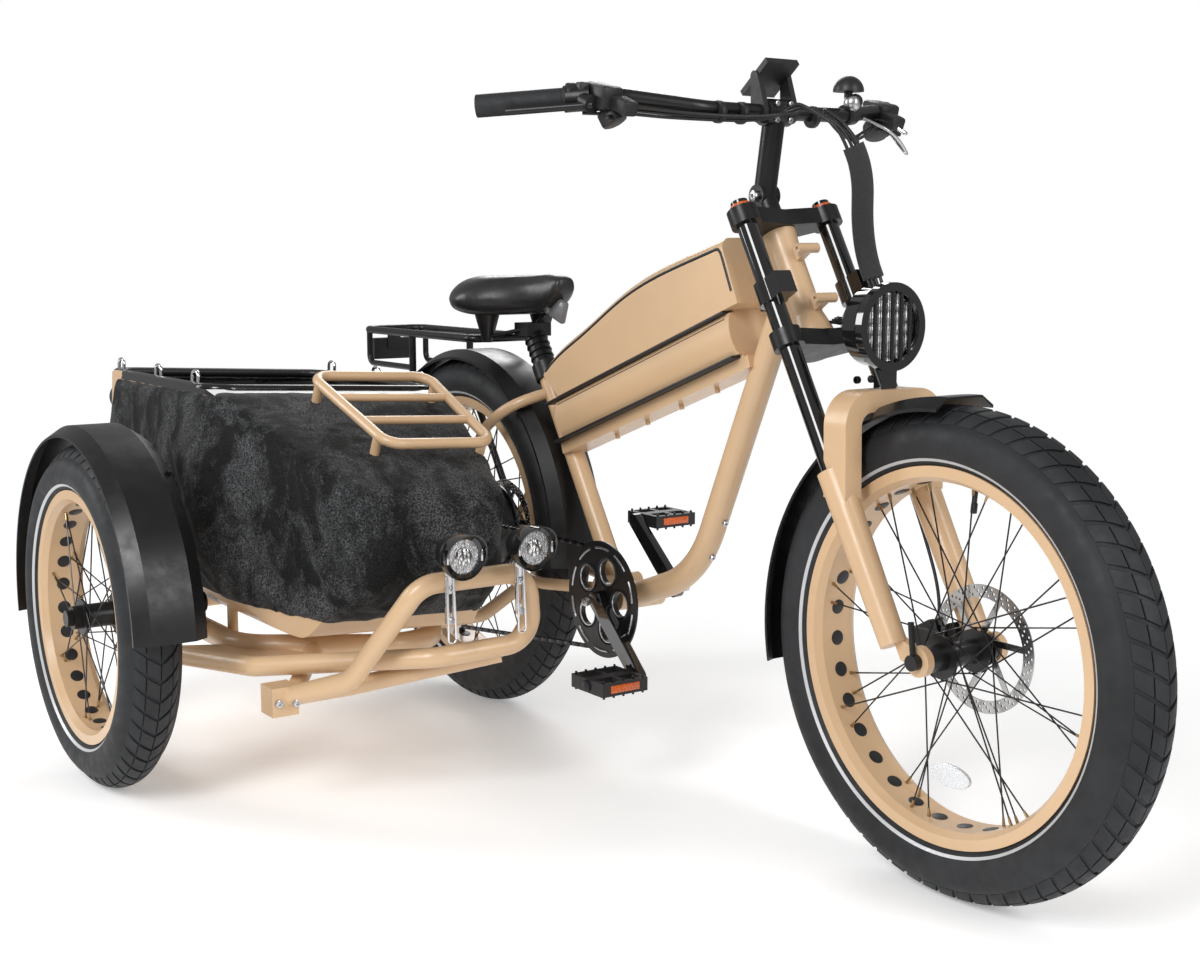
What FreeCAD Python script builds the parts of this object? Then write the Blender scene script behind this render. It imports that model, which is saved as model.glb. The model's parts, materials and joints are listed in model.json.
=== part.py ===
"""An electric fat-tyre bicycle with a one-wheeled sidecar bolted to its right-hand side.

+X points forward, +Y to the rider's left and +Z up. The origin lies on the ground, below the
middle of the whole outline. Every piece is first drawn about the bicycle itself, with the rear
axle over X = 0 and the wheels' middle plane at Y = 0, and is then moved to that origin.
All sizes are in millimetres and degrees.
"""
import FreeCAD
import Part
import math
import os

Vector = FreeCAD.Vector
ahead_axis = Vector(1, 0, 0)
side_axis = Vector(0, 1, 0)
up_axis = Vector(0, 0, 1)

# Driving sizes of the bicycle
wheelbase = 1255.0
tyre_radius = 340.0
tyre_width = 98.0
rim_radius = 260.0
rim_width = 80.0
head_angle = 60.5
fork_offset = 54.0
bracket_ahead = 518.0
bracket_height = 295.0
crank_length = 170.0
crank_angle = -36.5
handlebar_half_width = 402.0

# Driving sizes of the sidecar
track = 799.0
sidecar_axle_ahead = 105.0
sidecar_tyre_radius = 286.0
sidecar_tyre_width = 92.0
sidecar_rim_radius = 209.5
sidecar_rim_width = 74.0
tub_rear = -348.0
tub_front = 520.0
tub_inner_side = -192.0
tub_outer_side = -640.0
tub_floor_height = 262.0
tub_rim_height = 642.0
tub_roll_angle = 3.0
tub_wall = 4.0

# Clearances
seat_gap = 0.3
fit_gap = 0.1
running_gap = 6.0
cut_overrun = 5.0
straight_enough = math.radians(0.1)

# Wheels
rim_wall = 3.0
rim_depth = 22.0
rim_ledge_depth = 15.0
rim_well_half_width_share = 0.72
rim_hole_count = 32
rim_hole_radius = 8.5
bead_seat = 0.3
bead_depth = 8.0
tyre_shoulder_drop = 20.0
tyre_shoulder_share = 0.72
spoke_count = 32
spoke_radius = 1.2
spoke_cross = 1.6
spoke_rim_inner_row = 13.0
spoke_rim_outer_row = 17.0
hub_body_radius = 17.0
hub_flange_radius = 30.0
hub_flange_thickness = 4.0
hub_flange_offset = 32.0
axle_radius = 6.0
rotor_radius = 90.0
rotor_inner_radius = 72.0
rotor_thickness = 2.0
rotor_offset = 50.0
rotor_arm_count = 6
rotor_arm_width = 9.0
rotor_carrier_radius = 24.0
front_hub_half_width = 64.0
motor_radius = 78.0
motor_half_width = 52.0
motor_right_half_width = 40.0
motor_face_share = 0.8
hub_core_share = 0.7
motor_flange_radius = 84.0
rear_dropout_half_width = 84.0
rear_hub_half_width = 78.0
sprocket_radius = 28.0
sprocket_largest_radius = 56.0
sprocket_count = 6
sprocket_thickness = 1.8
sprocket_spacing = 4.6
sidecar_hub_half_width = 45.0
sidecar_hub_body_radius = 20.0
sidecar_hub_flange_offset = 28.0

# Fork and crowns
stanchion_spread = 80.0
stanchion_radius = 15.5
stanchion_offset = 26.0
stanchion_above_crown = 6.0
fork_cap_radius = 13.0
fork_cap_height = 7.0
crown_thickness = 26.0
crown_clamp_radius = 23.0
crown_steerer_radius = 30.0
mid_clamp_height = 34.0
mid_clamp_drop = 126.0
mid_clamp_radius = 21.0
mid_clamp_block = 16.0
steerer_radius = 14.0
fork_leg_radius = 23.0
fork_leg_foot_radius = 19.0
fork_leg_top = 290.0
fork_leg_foot = 34.0
fork_insert = 60.0
fork_arch_rise = 350.0
fork_arch_thickness = 30.0
fork_arch_depth = 44.0
fork_arch_ahead = 72.0
fork_arch_foot = 40.0
fork_arch_corner_radius = 34.0
dropout_thickness = 12.0
dropout_radius = 21.0
front_dropout_half_width = 72.0

# Head tube
head_tube_length = 172.0
head_tube_radius = 24.0
head_tube_top_radius = 27.0
head_tube_foot_radius = 31.0
head_tube_flare = 34.0
head_tube_foot_height = 756.0
headset_gap = 0.6
lug_radius = 7.5
lug_half_length = 20.0
lug_bore_radius = 2.5
lug_reach = 46.0
lug_upper_share = 0.721
lug_lower_share = 0.243
lug_web_thickness = 12.0

# Main frame
down_tube_radius = 21.0
down_tube_angle = 65.5
down_tube_foot_angle = 20.0
down_tube_bend = 240.0
down_tube_top_share = 0.58
seat_tube_radius = 18.0
seat_tube_foot_ahead = 462.0
seat_tube_foot_height = 306.0
seat_tube_angle = 57.8
seat_tube_length = 405.3
bracket_shell_radius = 23.0
bracket_shell_half_width = 46.0
bracket_axle_radius = 9.0
chainstay_radius = 10.5
seatstay_radius = 10.0
stay_bend = 120.0
chainstay_shares = ((0.90, 0.36, 0.88), (0.62, 0.80, 0.85), (0.30, 0.92, 0.87), (0.052, 1.0, 0.985))
seatstay_shares = ((1.0, 0.0, 1.0), (0.86, 0.94, 0.957), (0.57, 0.98, 0.88), (0.062, 1.0, 0.578))
seatstay_reach = 262.0
seatstay_height = 628.0
dropout_plate_radius = 30.0
dropout_plate_thickness = 8.0
yoke_half_width = 44.0
yoke_radius = 15.0
yoke_link_radius = 19.5

# Tank, battery and cradle, all raked like the cradle
cradle_angle = 19.9
cradle_rear_ahead = 330.0
cradle_rear_height = 521.5
cradle_end_inset = 4.3
cradle_thickness = 19.0
cradle_half_width = 27.0
cradle_seam = 5.0
battery_thickness = 66.0
battery_half_width = 44.0
battery_rear_inset = 24.0
battery_front_inset = 10.0
tank_half_width = 44.0
tank_front_height = 100.0
tank_rear_share = 0.08
tank_front_inset = -22.0
tank_edge_radius = 20.0
tank_crest_shares = ((0.007, 0.58), (0.11, 0.78), (0.27, 0.92), (0.50, 1.13), (0.71, 1.17), (0.90, 1.10), (0.985, 1.07))
boss_radius = 4.0
boss_height = 9.0
boss_place_shares = (0.25, 0.42, 0.60, 0.78)

# Seat post and saddle
post_radius = 14.0
post_bellows_radius = 22.0
post_bellows_ring = 3.0
post_bellows_count = 5
post_bellows_length = 62.0
post_collar_radius = 24.0
post_collar_height = 30.0
post_length = 104.0
saddle_length = 277.0
saddle_half_width = 115.0
saddle_setback = 160.6
saddle_rise = 33.0
saddle_thickness = 64.0
saddle_shares = (
    (0.0, 0.46, 0.26, 0.66), (0.05, 0.80, 0.06, 0.86), (0.20, 1.0, 0.0, 0.96), (0.44, 0.84, 0.0, 1.0),
    (0.66, 0.44, 0.02, 0.97), (0.88, 0.27, 0.12, 0.90), (1.0, 0.17, 0.36, 0.76))
saddle_spring_top_radius = 25.0
saddle_spring_foot_radius = 9.0
saddle_spring_length = 58.0
saddle_spring_spread = 60.0
saddle_spring_setback = 62.6
rail_radius = 4.0
clamp_length = 44.0
clamp_width = 52.0
clamp_height = 24.0
saddle_rail_share = 0.72

# Rear rack and fenders
fender_gap = 8.0
fender_wall = 3.0
fender_half_width = 55.0
fender_crown = 16.0
rear_fender_start_angle = -4.0
rear_fender_end_angle = 205.0
front_fender_half_width = 55.0
front_fender_gap = 9.0
front_fender_start_angle = 90.0
front_fender_end_angle = 192.0
sidecar_fender_half_width = 58.0
sidecar_fender_shift = 10.0
sidecar_fender_gap = 26.0
sidecar_fender_start_angle = 2.0
sidecar_fender_end_angle = 188.0
fender_stay_radius = 2.5
fender_boss_radius = 7.0
rear_stay_angle = 168.0
rack_tube_radius = 7.5
rack_leg_radius = 7.0
rack_loop_radius = 6.0
rack_half_width = 66.0
rack_rear = -368.0
rack_front = 84.0
rack_height = 716.0
rack_drop = 68.0
rack_leg_ahead = -150.0
rack_bend = 34.0
rack_cross_share = 0.4
rack_knee_share = 1.5
lamp_plate_width = 92.0
lamp_plate_height = 44.0
lamp_plate_depth = 20.0
lamp_plate_drop = 12.0
lamp_bracket_width = 30.0
lamp_bracket_thickness = 3.0
tub_lamp_radius = 28.0
tub_lamp_depth = 24.0
tub_lamp_drop = 50.0
tub_lamp_inset = 44.0

# Chain and drive
chain_offset = 66.0
chain_radius = 86.0
chain_half_height = 4.0
chain_half_width = 3.2
chainring_thickness = 4.0
guard_radius = 100.0
guard_inner_radius = 74.0
guard_thickness = 3.0
guard_hole_count = 5
guard_hole_radius = 21.0
guard_hole_place = 52.0
pulley_radius = 16.0
lower_pulley_ahead = 44.0
lower_pulley_height = 172.0
cage_thickness = 2.5
cage_radius = 9.0
hanger_angle = 24.0
knuckle_length = 20.0
crank_inner_side = 76.0
crank_arm_width = 30.0
crank_arm_tip_width = 25.0
crank_arm_thickness = 15.0
crank_flare = 14.0
pedal_length = 88.0
pedal_half_width = 44.0
pedal_thickness = 22.0
pedal_axle_radius = 5.0

# Stem, handlebar and what it carries
stem_radius = 17.0
stem_along = 334.8
stem_reach = 78.4
bar_radius = 11.0
grip_radius = 16.5
grip_length = 128.0
bar_clamp_radius = 20.0
bar_clamp_half_length = 24.0
bar_shares = ((0.0, 0.0, 0.0), (0.0, 0.34, 0.1), (-0.26, 0.64, 1.0), (-1.0, 1.0, 0.2))
bar_sweep = 182.0
bar_rise = 16.0
bar_bend = 90.0
lever_length = 108.0
lever_radius = 5.5
lever_gap = 34.0
lever_drop_share = 0.35
lever_block_length = 34.0
lever_block_radius = 13.0
display_width = 62.0
display_depth = 72.0
display_thickness = 9.0
display_rise = 48.0
display_reach = -10.0
display_tilt_angle = 38.0
bell_radius = 24.0
bell_place_share = 0.15
bell_clamp_half_length = 12.0
bell_clamp_radius = 16.0
bell_neck_radius = 6.5
bell_ball_radius = 12.0
bell_ball_reach = 15.0
bell_ball_rise = 19.0
sleeve_radius = 12.0

# Headlight
headlight_radius = 62.0
headlight_depth = 74.0
headlight_reach = 151.3
headlight_along = -60.3
headlight_bars = 5
headlight_bar_radius = 3.0
headlight_glass_radius = 50.0
headlight_glass_thickness = 4.0
headlight_bracket_width = 30.0
headlight_rim_depth = 12.0

# Sidecar chassis
chassis_radius = 19.0
cross_radius = 15.0
chassis_height = 232.0
chassis_bend = 90.0
bumper_radius = 16.0
bumper_ahead = 600.0
bumper_top = 380.0
bumper_bend = 45.0
under_bar_share = 0.9
lamp_radius = 34.0
lamp_length = 66.0
lamp_height = 429.0
lamp_ahead = 44.0
lamp_spread = 126.0
lamp_middle_side = -364.0
nose_rack_radius = 9.0
cover_thickness = 3.0
cover_hem_height = 300.0
staple_radius = 3.0
staple_width = 26.0
staple_height = 18.0

# Further values of the pieces below
rotor_carrier_gap = 7.0
sidecar_axle_radius = 8.0
sidecar_rim_hole_count = 28
axle_nut_length = 9.6
hanger_plate = 8.0
arm_side = 636.0
axle_tube_radius = 17.0
sidecar_nut_length = 10.0
post_overrun = 60.0
post_width = 9.0
pedal_bar = 8.0
grip_end_thickness = 4.0
grip_flange_radius = 19.0
stem_pivot_rise = 40.0
display_arm = 9.0
display_ring_radius = 16.0
display_arm_radius = 8.0
headlight_recess = 18.0
caliper_length = 54.0
caliper_width = 30.0
caliper_depth = 40.0
caliper_behind = 84.0
caliper_above = 40.0
caliper_bridge = 12.0
caliper_ear = 16.0
caliper_slot_gap = 3.0
sleeve_shares = ((0.5, 0.1, 1.06), (1.0, 0.5, 0.66))
sleeve_reach = 130.0
sleeve_side = 0.0
sleeve_bend = 120.0
tub_deck_start = 150.0
tub_nose_depth = 238.0
tub_nose_rise = 120.0
tub_tail_rise = 70.0
tub_nose_taper = 110.0
tub_nose_inner_taper = 100.0
tub_side_lean = 45.0
tub_knee_share = 0.6
tub_corner_radius = 45.0
tub_lip = 8.0
tub_rim_roll = 8.0
cover_rear_inset = 60.0
nose_rack_lift = 40.0
nose_rack_start = 30.0
nose_rack_length = 260.0
nose_rack_outer_side = -470.0
nose_rack_inner_side = -245.0
nose_rack_taper = 22.0
nose_rack_bars = 2
nose_rack_bend = 30.0
keel_shares = (
    (-0.30, 0.76, 1.0), (0.45, 0.76, 1.0), (0.80, 0.42, 1.0), (0.16, 0.24, 0.98), (0.10, 0.17, 0.90))
rear_cross_shares = ((-0.30, 0.74, 1.0), (-0.30, 0.40, 1.0), (0.12, 0.26, 0.98))
front_link_shares = ((0.52, 3.25, 0.79), (0.52, 1.9, 0.79), (0.52, 0.80, 0.96))
post_shares = ((0.30, 0.735), (-0.22, 0.735), (0.55, 0.35), (-0.20, 0.367))
bumper_shares = (
    (0.72, 0.785, 0.50), (0.88, 0.69, 0.60), (1.0, 0.585, 1.0), (1.0, 0.345, 1.0), (1.0, 0.335, 0.70),
    (0.97, 0.54, 0.68), (0.60, 0.80, 0.60), (0.22, 0.905, 0.58))
under_bar_shares = ((0.72, 0.785, 0.50), (0.80, 0.66, 0.54), (0.98, 0.40, 0.66))
tie_bar_shares = ((0.72, 0.76, 0.50), (0.52, 0.64, 0.60))
shoe_length = 44.0
shoe_height = 46.0
footboard_shares = ((0.27, 0.875, 0.6), (0.58, 0.785, 0.6), (0.60, 0.66, 0.6), (0.38, 0.72, 0.6))
footboard_thickness = 3.0
lamp_wall = 3.0
lamp_hood = 8.0
lamp_recess = 10.0
strap_thickness = 2.0
strap_width = 16.0
strap_drop = 62.0
strap_slot_share = 0.5
lamp_neck_share = 0.5
fender_strut_radius = 4.0
sidecar_stay_angles = (55.0, 125.0)

# Places worked out from the sizes above
head_rise = Vector(-math.cos(math.radians(head_angle)), 0, math.sin(math.radians(head_angle)))
head_ahead = Vector(math.sin(math.radians(head_angle)), 0, math.cos(math.radians(head_angle)))
front_axle = Vector(wheelbase, 0, tyre_radius)
rear_axle = Vector(0, 0, tyre_radius)
sidecar_axle = Vector(sidecar_axle_ahead, -track, sidecar_tyre_radius)
bracket_axle = Vector(bracket_ahead, 0, bracket_height)
head_foot = front_axle - head_ahead * fork_offset
head_foot = head_foot + head_rise * ((head_tube_foot_height - head_foot.z) / head_rise.z)
seat_foot = Vector(seat_tube_foot_ahead, 0, seat_tube_foot_height)
bar_middle = head_foot + head_rise * stem_along + head_ahead * stem_reach
headlight_front = head_foot + head_rise * headlight_along + head_ahead * headlight_reach
front_reach = wheelbase + tyre_radius
sidecar_reach = track + sidecar_fender_half_width - sidecar_fender_shift
rear_reach = max(-rack_rear, tub_lamp_depth - tub_rear)
to_origin = Vector((rear_reach - front_reach) / 2, (sidecar_reach - handlebar_half_width) / 2, 0)
parts_folder = "parts"


def rod(start, end, radius):
    """A straight round bar from one point to another."""
    along = end - start
    return Part.makeCylinder(radius, along.Length, start, along)


def disc(centre, radius, half_width, axis=side_axis):
    """A round plate that stands evenly about its centre."""
    return Part.makeCylinder(radius, 2 * half_width, centre - axis * half_width, axis)


def block(centre, size_x, size_y, size_z):
    """A box about its centre."""
    corner = centre - Vector(size_x, size_y, size_z) / 2
    return Part.makeBox(size_x, size_y, size_z, corner)


def bent_path(points, bend):
    """Straight runs joined by tangent arcs of one radius, smaller where the runs are short."""
    edges = []
    start = points[0]
    for before, corner, after in zip(points, points[1:], points[2:]):
        back = Vector(before - corner)
        forth = Vector(after - corner)
        room = 0.48 * min(back.Length, forth.Length)
        back.normalize()
        forth.normalize()
        half_turn = (math.pi - back.getAngle(forth)) / 2
        if half_turn < straight_enough:
            continue
        setback = min(bend * math.tan(half_turn), room)
        radius = setback / math.tan(half_turn)
        bisector = back + forth
        bisector.normalize()
        middle = corner + bisector * (math.hypot(radius, setback) - radius)
        arc_start = corner + back * setback
        arc_end = corner + forth * setback
        edges.append(Part.LineSegment(start, arc_start).toShape())
        edges.append(Part.Arc(arc_start, middle, arc_end).toShape())
        start = arc_end
    edges.append(Part.LineSegment(start, points[-1]).toShape())
    return Part.Wire(edges)


def tube(points, radius, bend=0.0):
    """A round bar bent along a list of corners."""
    if len(points) == 2:
        return rod(points[0], points[1], radius)
    circle = Part.Wire(Part.makeCircle(radius, points[0], points[1] - points[0]))
    return bent_path(points, bend).makePipeShell([circle], True, False)


def closed_tube(points, radius, bend):
    """A bent bar that closes on itself, begun half-way along its first run."""
    middle = (points[0] + points[1]) / 2
    return tube([middle] + points[1:] + points[:1] + [middle], radius, bend)


def joined(shapes):
    """One solid from shapes that overlap."""
    first = shapes[0]
    return first.fuse(shapes[1:]).removeSplitter()


def spun(points, centre, axis=side_axis):
    """A ring turned about an axis through its centre; each point is (along, out)."""
    out = up_axis if abs(axis.z) < math.sqrt(0.5) else ahead_axis
    corners = [centre + axis * along + out * away for along, away in points]
    face = Part.Face(Part.makePolygon(corners + corners[:1]))
    return face.revolve(centre, axis, 360)


def placed(shares, origin, size):
    """Points from shares of a size, counted from an origin."""
    return [origin + Vector(a * size.x, b * size.y, c * size.z) for a, b, c in shares]


def tyre(centre, radius, width, rim_edge, rim_full_width):
    """A fat tyre: beads inside the rim, round side walls and a flatter crown."""
    half = width / 2
    shoulder = half * tyre_shoulder_share
    shoulder_out = radius - tyre_shoulder_drop
    belly = (radius + rim_edge) / 2
    bead = rim_full_width / 2 - rim_wall - bead_seat
    bead_foot = rim_edge - bead_depth
    bead_top = rim_edge + bead_seat

    def at(across, out):
        return centre + side_axis * across + up_axis * out

    outline = Part.Wire([
        Part.LineSegment(at(-bead, bead_foot), at(bead, bead_foot)).toShape(),
        Part.LineSegment(at(bead, bead_foot), at(bead, bead_top)).toShape(),
        Part.Arc(at(bead, bead_top), at(half, belly), at(shoulder, shoulder_out)).toShape(),
        Part.Arc(at(shoulder, shoulder_out), at(0, radius), at(-shoulder, shoulder_out)).toShape(),
        Part.Arc(at(-shoulder, shoulder_out), at(-half, belly), at(-bead, bead_top)).toShape(),
        Part.LineSegment(at(-bead, bead_top), at(-bead, bead_foot)).toShape(),
    ])
    return Part.Face(outline).revolve(centre, side_axis, 360)


def rim(centre, edge_radius, width, hole_count):
    """A wide single-walled rim with a row of round holes through its bed."""
    half = width / 2
    well = half * rim_well_half_width_share
    ledge = edge_radius - rim_ledge_depth
    bed = edge_radius - rim_depth
    outer = [(half, edge_radius), (half, ledge), (well, bed), (-well, bed), (-half, ledge), (-half, edge_radius)]
    inner = [
        (-half + rim_wall, edge_radius), (-half + rim_wall, ledge + rim_wall), (-well, bed + rim_wall),
        (well, bed + rim_wall), (half - rim_wall, ledge + rim_wall), (half - rim_wall, edge_radius),
    ]
    ring = spun(outer + inner, centre)
    drills = []
    for index in range(hole_count):
        angle = math.radians(360 * (index + 0.5) / hole_count)
        out = Vector(math.sin(angle), 0, math.cos(angle))
        start = centre + out * (bed - cut_overrun)
        drills.append(rod(start, start + out * (rim_wall + 2 * cut_overrun), rim_hole_radius))
    return ring.cut(drills)


def spokes(centre, edge_radius, flange_offset, flange_radius, count):
    """Spokes that leave each flange at a tangent, turn about, and end at two rows in the rim."""
    lean_radius = flange_radius + spoke_radius + seat_gap
    bed = edge_radius - rim_depth - 2 * seat_gap
    bars = []
    for index in range(count):
        side = 1 if index % 2 else -1
        turn = 1 if (index // 2) % 2 else -1
        start_angle = 2 * math.pi * index / count
        reach = math.acos(lean_radius / bed)
        end_angle = start_angle + turn * reach
        hub_side = side * (flange_offset + turn * spoke_cross)
        rim_side = side * (spoke_rim_outer_row if turn > 0 else spoke_rim_inner_row)
        start = centre + Vector(lean_radius * math.sin(start_angle), hub_side, lean_radius * math.cos(start_angle))
        end = centre + Vector(bed * math.sin(end_angle), rim_side, bed * math.cos(end_angle))
        bars.append(six_sided_bar(start, end, spoke_radius))
    return Part.makeCompound(bars)


def six_sided_bar(start, end, radius):
    """A thin straight bar, six-sided so that many of them stay light."""
    along = end - start
    across = along.cross(side_axis)
    across.normalize()
    rise = along.cross(across)
    rise.normalize()
    corners = []
    for index in range(6):
        angle = math.radians(60 * index)
        corners.append(start + across * (radius * math.cos(angle)) + rise * (radius * math.sin(angle)))
    return Part.Face(Part.makePolygon(corners + corners[:1])).extrude(along)


def hub(centre, half_width, body_radius, flange_offset, flange_radius, bore_radius):
    """A hub shell with two spoke flanges and a bore for its axle."""
    edge = flange_offset + hub_flange_thickness / 2
    neck = flange_offset - hub_flange_thickness / 2
    end_radius = (bore_radius + flange_radius) / 2
    right = [(half_width, bore_radius), (half_width, end_radius), (edge, end_radius), (edge, flange_radius),
             (neck, flange_radius), (neck, body_radius)]
    left = [(-along, out) for along, out in reversed(right)]
    return spun(right + left, centre)


def rotor(centre, bore_radius):
    """A brake disc: a braking band held to a small carrier by slanted arms."""
    half = rotor_thickness / 2
    band = disc(centre, rotor_radius, half).cut(disc(centre, rotor_inner_radius, rotor_thickness))
    carrier = disc(centre, rotor_carrier_radius, half)
    arms = []
    reach = rotor_inner_radius + (rotor_radius - rotor_inner_radius) / 2 - rotor_carrier_radius / 2
    for index in range(rotor_arm_count):
        arm = block(Vector(reach / 2 + rotor_carrier_radius / 2, 0, rotor_carrier_radius / 2),
                    reach, rotor_thickness, rotor_arm_width)
        arm.rotate(Vector(), side_axis, 360 * index / rotor_arm_count)
        arm.translate(centre)
        arms.append(arm)
    whole = joined([band, carrier] + arms)
    return whole.cut(disc(centre, bore_radius, rotor_thickness))


def fender(centre, wheel_radius, gap, half_width, start, end):
    """A curved mudguard over part of a wheel; angles run from straight ahead over the top."""
    inner = wheel_radius + gap
    crown = fender_crown
    points = [(-half_width, inner - crown), (-half_width * 0.6, inner), (half_width * 0.6, inner),
              (half_width, inner - crown), (half_width, inner - crown + fender_wall * 1.5),
              (half_width * 0.6, inner + fender_wall), (-half_width * 0.6, inner + fender_wall),
              (-half_width, inner - crown + fender_wall * 1.5)]
    first = Vector(math.cos(math.radians(start)), 0, math.sin(math.radians(start)))
    corners = [centre + side_axis * along + first * out for along, out in points]
    face = Part.Face(Part.makePolygon(corners + corners[:1]))
    return face.revolve(centre, -side_axis, end - start)


def front_dropout(side):
    """The flat hook that carries the front axle ahead of one fork leg."""
    foot = leg_point(side, fork_leg_foot)
    plate_side = side * front_dropout_half_width
    centre = Vector(front_axle.x, plate_side, front_axle.z)
    eye = disc(centre, dropout_radius, dropout_thickness / 2)
    heel = Vector(foot.x, plate_side, foot.z)
    upper = heel + head_rise * dropout_radius
    lower = heel - head_rise * dropout_radius
    reach = centre - heel
    web = Part.Face(Part.makePolygon([upper, lower, lower + reach, upper + reach, upper]))
    web = web.extrude(side_axis * dropout_thickness)
    web.translate(side_axis * (-dropout_thickness / 2))
    return eye.fuse(web)


def leg_point(side, height_above_axle):
    """A point on the middle line of one fork leg, level with a distance up from the axle."""
    base = front_axle - head_ahead * (fork_offset - stanchion_offset)
    return base + head_rise * height_above_axle + side_axis * (side * stanchion_spread)


def axis_point(height_along):
    """A point on the steering axis, counted up from the foot of the head tube."""
    return head_foot + head_rise * height_along


def crown_plate(height_along):
    """A fork crown: a steerer boss, two clamps and the tapered bridge between them."""
    base = axis_point(height_along)
    boss = Part.makeCylinder(crown_steerer_radius, crown_thickness, base, head_rise)
    pieces = [boss]
    for side in (-1, 1):
        middle = base + head_ahead * stanchion_offset + side_axis * (side * stanchion_spread)
        pieces.append(Part.makeCylinder(crown_clamp_radius, crown_thickness, middle, head_rise))
        corners = [
            base + head_ahead * crown_steerer_radius, middle + head_ahead * crown_clamp_radius * 0.6,
            middle - head_ahead * crown_clamp_radius * 0.6, base - head_ahead * crown_steerer_radius,
        ]
        bridge = Part.Face(Part.makePolygon(corners + corners[:1])).extrude(head_rise * crown_thickness)
        pieces.append(bridge)
    whole = joined(pieces)
    bores = []
    for side in (-1, 1):
        middle = base + head_ahead * stanchion_offset + side_axis * (side * stanchion_spread)
        bores.append(Part.makeCylinder(stanchion_radius, crown_thickness * 2, middle - head_rise * cut_overrun, head_rise))
    return whole.cut(bores)


upper_crown_base = head_tube_length + headset_gap
lower_crown_base = -headset_gap - crown_thickness


def fork_crowns():
    """Both crowns with the steerer that joins them through the head tube."""
    steerer_start = axis_point(lower_crown_base)
    steerer = Part.makeCylinder(
        steerer_radius, head_tube_length + 2 * crown_thickness + 2 * headset_gap, steerer_start, head_rise)
    return joined([crown_plate(upper_crown_base), crown_plate(lower_crown_base), steerer])


def stanchion_foot(side):
    """Where a stanchion ends, some way down inside its leg."""
    return leg_point(side, fork_leg_top - fork_insert)


def stanchion_top(side):
    """The top end of a stanchion, just above the upper crown."""
    along = upper_crown_base + crown_thickness + stanchion_above_crown
    return axis_point(along) + head_ahead * stanchion_offset + side_axis * (side * stanchion_spread)


def stanchions():
    """Two polished tubes, each with a cap on top and a ring clamp between the crowns."""
    sides = []
    for side in (-1, 1):
        top = stanchion_top(side)
        main = rod(stanchion_foot(side), top, stanchion_radius)
        cap = rod(top, top + head_rise * fork_cap_height, fork_cap_radius)
        sides.append(joined([main, cap, mid_clamp(side)]))
    return Part.makeCompound(sides)


def mid_clamp_foot(side):
    """The middle of the lower end of one ring clamp."""
    return stanchion_top(side) - head_rise * (mid_clamp_drop + mid_clamp_height)


def mid_clamp(side):
    """A ring clamp with a square ear ahead of it."""
    foot = mid_clamp_foot(side)
    ring = Part.makeCylinder(mid_clamp_radius, mid_clamp_height, foot, head_rise)
    half = side_axis * mid_clamp_block
    reach = head_ahead * (mid_clamp_radius + mid_clamp_block)
    corners = [foot - half, foot + half, foot + half + reach, foot - half + reach]
    ear = Part.Face(Part.makePolygon(corners + corners[:1])).extrude(head_rise * mid_clamp_height)
    return ring.fuse(ear)


def fork_leg(side, growth):
    """One tapered lower leg, fattened by a growth where it is used to cut what seats on it."""
    foot = leg_point(side, fork_leg_foot)
    length = fork_leg_top - fork_leg_foot
    return Part.makeCone(fork_leg_foot_radius + growth, fork_leg_radius + growth, length, foot, head_rise)


def arch_bar(growth):
    """The square arch over the tyre, fattened by a growth where it is used to cut what seats on it."""
    arch_top = arch_middle()
    foot = leg_point(1, fork_leg_top - fork_arch_foot)
    corners = [
        Vector(foot.x, -stanchion_spread, foot.z), Vector(arch_top.x, -stanchion_spread, arch_top.z),
        Vector(arch_top.x, stanchion_spread, arch_top.z), Vector(foot.x, stanchion_spread, foot.z),
    ]
    rise = corners[1] - corners[0]
    rise.normalize()
    depth_way = side_axis.cross(rise) * (fork_arch_depth / 2 + growth)
    across = side_axis * (fork_arch_thickness / 2 + growth)
    section = [corners[0] - across - depth_way, corners[0] + across - depth_way,
               corners[0] + across + depth_way, corners[0] - across + depth_way]
    path = bent_path(corners, fork_arch_corner_radius)
    return path.makePipeShell([Part.makePolygon(section + section[:1])], True, False)


def fork_lowers():
    """The two lower legs, the square arch over the tyre and the hooked dropouts."""
    pieces = [arch_bar(0)]
    bores = [disc(front_axle, axle_radius + seat_gap, stanchion_spread * 2)]
    for side in (-1, 1):
        pieces.append(fork_leg(side, 0))
        pieces.append(front_dropout(side))
        bores.append(rod(stanchion_foot(side) - head_rise * seat_gap, stanchion_top(side), stanchion_radius + seat_gap))
    return joined(pieces).cut(bores)


def arch_middle():
    """The middle of the arch's top bar, ahead of the line of the legs."""
    on_leg = leg_point(1, fork_arch_rise / head_rise.z)
    return Vector(on_leg.x + fork_arch_ahead, 0, on_leg.z)


def front_axle_pin():
    """The front axle with its quick-release lever on the right."""
    reach = front_dropout_half_width + dropout_thickness / 2 + seat_gap
    pin = disc(front_axle, axle_radius, reach)
    nut = Part.makeCylinder(axle_radius * 1.8, axle_radius * 1.6, front_axle + side_axis * reach, side_axis)
    cam = Part.makeCylinder(axle_radius * 1.8, axle_radius * 2, front_axle - side_axis * reach, -side_axis)
    lever_start = front_axle - side_axis * (reach + axle_radius)
    lever_end = lever_start + head_rise * (dropout_radius * 2.4) + head_ahead * dropout_radius
    lever = rod(lever_start, lever_end, axle_radius * 0.7)
    return joined([pin, nut, cam, lever])


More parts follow.
